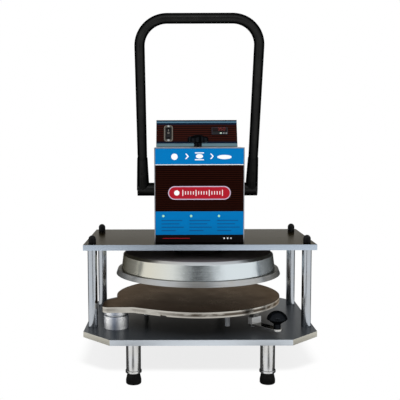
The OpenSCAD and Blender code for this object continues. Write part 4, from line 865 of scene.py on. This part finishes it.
studio = {"ambient": 0.34, "seen": 1.0}
world = bpy.data.worlds.new("white studio")
scene.world = world
world.use_nodes = True
add = partial(addNode, world.node_tree)
dim = add("Background", {"Color": "#ffffff", "Strength": studio["ambient"]})
bright = add("Background", {"Color": "#ffffff", "Strength": studio["seen"]})
blend = add("MixShader", {0: seenShare(add), 1: dim, 2: bright})
setSockets(world.node_tree.nodes["World Output"], {"Surface": blend})


# Stage: lamps, and dark cards that only reflections see

lamps = [
    {"name": "leftSoftbox", "at": (-1.7, -0.75, 0.8), "to": (0, 0, 0.35), "size": (1.5, 1.5), "watts": 11},
    {"name": "rightSoftbox", "at": (1.7, -0.75, 0.8), "to": (0, 0, 0.35), "size": (1.2, 1.5), "watts": 9},
    {"name": "frontSoftbox", "at": (0.2, -2.55, 1.9), "to": (0, 0, 0.3), "size": (2.2, 1.4), "watts": 14},
    {"name": "shadowKey", "at": (0, -2.5, 1.95), "to": (0, 0, 0.15), "size": (0.4, 0.4), "watts": 34},
]
mirroredLamp = "frontSoftbox"  # the only one that shows in the polished pieces
for spec in lamps:
    lamp = bpy.data.lights.new(spec["name"], "AREA")
    lamp.shape = "RECTANGLE"
    lamp.size, lamp.size_y = spec["size"]
    lamp.energy = spec["watts"]
    holder = bpy.data.objects.new(spec["name"], lamp)
    holder.location = spec["at"]
    holder.rotation_euler = (Vector(spec["to"]) - Vector(spec["at"])).to_track_quat("-Z", "Y").to_euler()
    holder.visible_glossy = spec["name"] == mirroredLamp
    scene.collection.objects.link(holder)

upright = math.pi / 2
flagTones = {"fading": (0.06, 1.0), "flat": (0.24, 0.24), "deep": (0.07, 0.07)}  # at the middle and the sides
flags = [
    {"name": "cameraFlag", "middle": (-0.07, -2.15, 1.0), "size": (3.4, 1.8), "turn": (upright, 0, 0),
     "tone": "fading"},
    {"name": "floorFlag", "middle": (-0.07, -1.65, 0.003), "size": (0.7, 1.3), "tone": "fading"},
    {"name": "leftLegFlag", "middle": (-0.19, -0.5, 0.003), "size": (0.2, 0.32), "tone": "fading"},
    {"name": "rightLegFlag", "middle": (0.205, -0.5, 0.003), "size": (0.2, 0.32), "tone": "fading"},
    # painted shade: a dark sheet under the press that mirrors see in place of its shadowed floor
    {"name": "underShadeFlag", "middle": (0, 0.12, 0.003), "size": (1.3, 0.76), "tone": "deep"},
    {"name": "leftFlag", "middle": (-0.81, 0.57, 0.2), "size": (1.2, 0.5), "turn": (upright, 0, 0.99),
     "tone": "flat"},
    {"name": "rightFlag", "middle": (0.81, 0.57, 0.2), "size": (1.2, 0.5), "turn": (upright, 0, -0.99),
     "tone": "flat"},
]
flagCloths = {}
for key, (middleTone, sideTone) in flagTones.items():
    flagCloths[key], add, shader, coords = startFinish("black cloth, " + key, {"Roughness": 0.9})
    aside = add("SeparateXYZ", {0: coords}).outputs["X"]
    aside = add("Math", {0: aside}, operation="ABSOLUTE")
    tone = add("MapRange", {"Value": aside, "To Min": middleTone, "To Max": sideTone},
               interpolation_type="SMOOTHSTEP")
    cloth = add("Emission", {"Color": "#ffffff", "Strength": tone})
    setSockets(flagCloths[key].node_tree.nodes["Material Output"], {"Surface": cloth})
for spec in flags:
    flag = addSheet(spec["name"], 1.0, flagCloths[spec["tone"]])
    flag.location = spec["middle"]
    flag.rotation_euler = spec.get("turn", (0, 0, 0))
    flag.scale = (spec["size"][0] / 2, spec["size"][1] / 2, 1)
    flag.visible_camera = flag.visible_diffuse = flag.visible_shadow = False


# Camera, fitted to the corners of the two plates

view = {"at": (-66.3, -2026.4, 623.9), "pitch": 0.0844, "yaw": -0.0019, "roll": -0.0028, "lens": 64.89,
        "sensor": 36, "shift": (0.0673, 0.0057), "farM": 50}
level = math.cos(view["pitch"])
forward = Vector((math.sin(view["yaw"]) * level, math.cos(view["yaw"]) * level, -math.sin(view["pitch"])))
right = Vector((math.cos(view["yaw"]), -math.sin(view["yaw"]), 0))
up = right.cross(forward)
tiltedRight = math.cos(view["roll"]) * right + math.sin(view["roll"]) * up
tiltedUp = -math.sin(view["roll"]) * right + math.cos(view["roll"]) * up
camera = bpy.data.objects.new("camera", bpy.data.cameras.new("camera"))
camera.data.lens = view["lens"]
camera.data.sensor_width = view["sensor"]
camera.data.shift_x, camera.data.shift_y = view["shift"]
camera.data.clip_end = view["farM"]
turned = Matrix((tiltedRight, tiltedUp, -forward)).transposed().to_4x4()
camera.matrix_world = Matrix.Translation([value * mm for value in view["at"]]) @ turned
scene.collection.objects.link(camera)
scene.camera = camera
scene.view_settings.view_transform = "Standard"
print("stage: studio set")
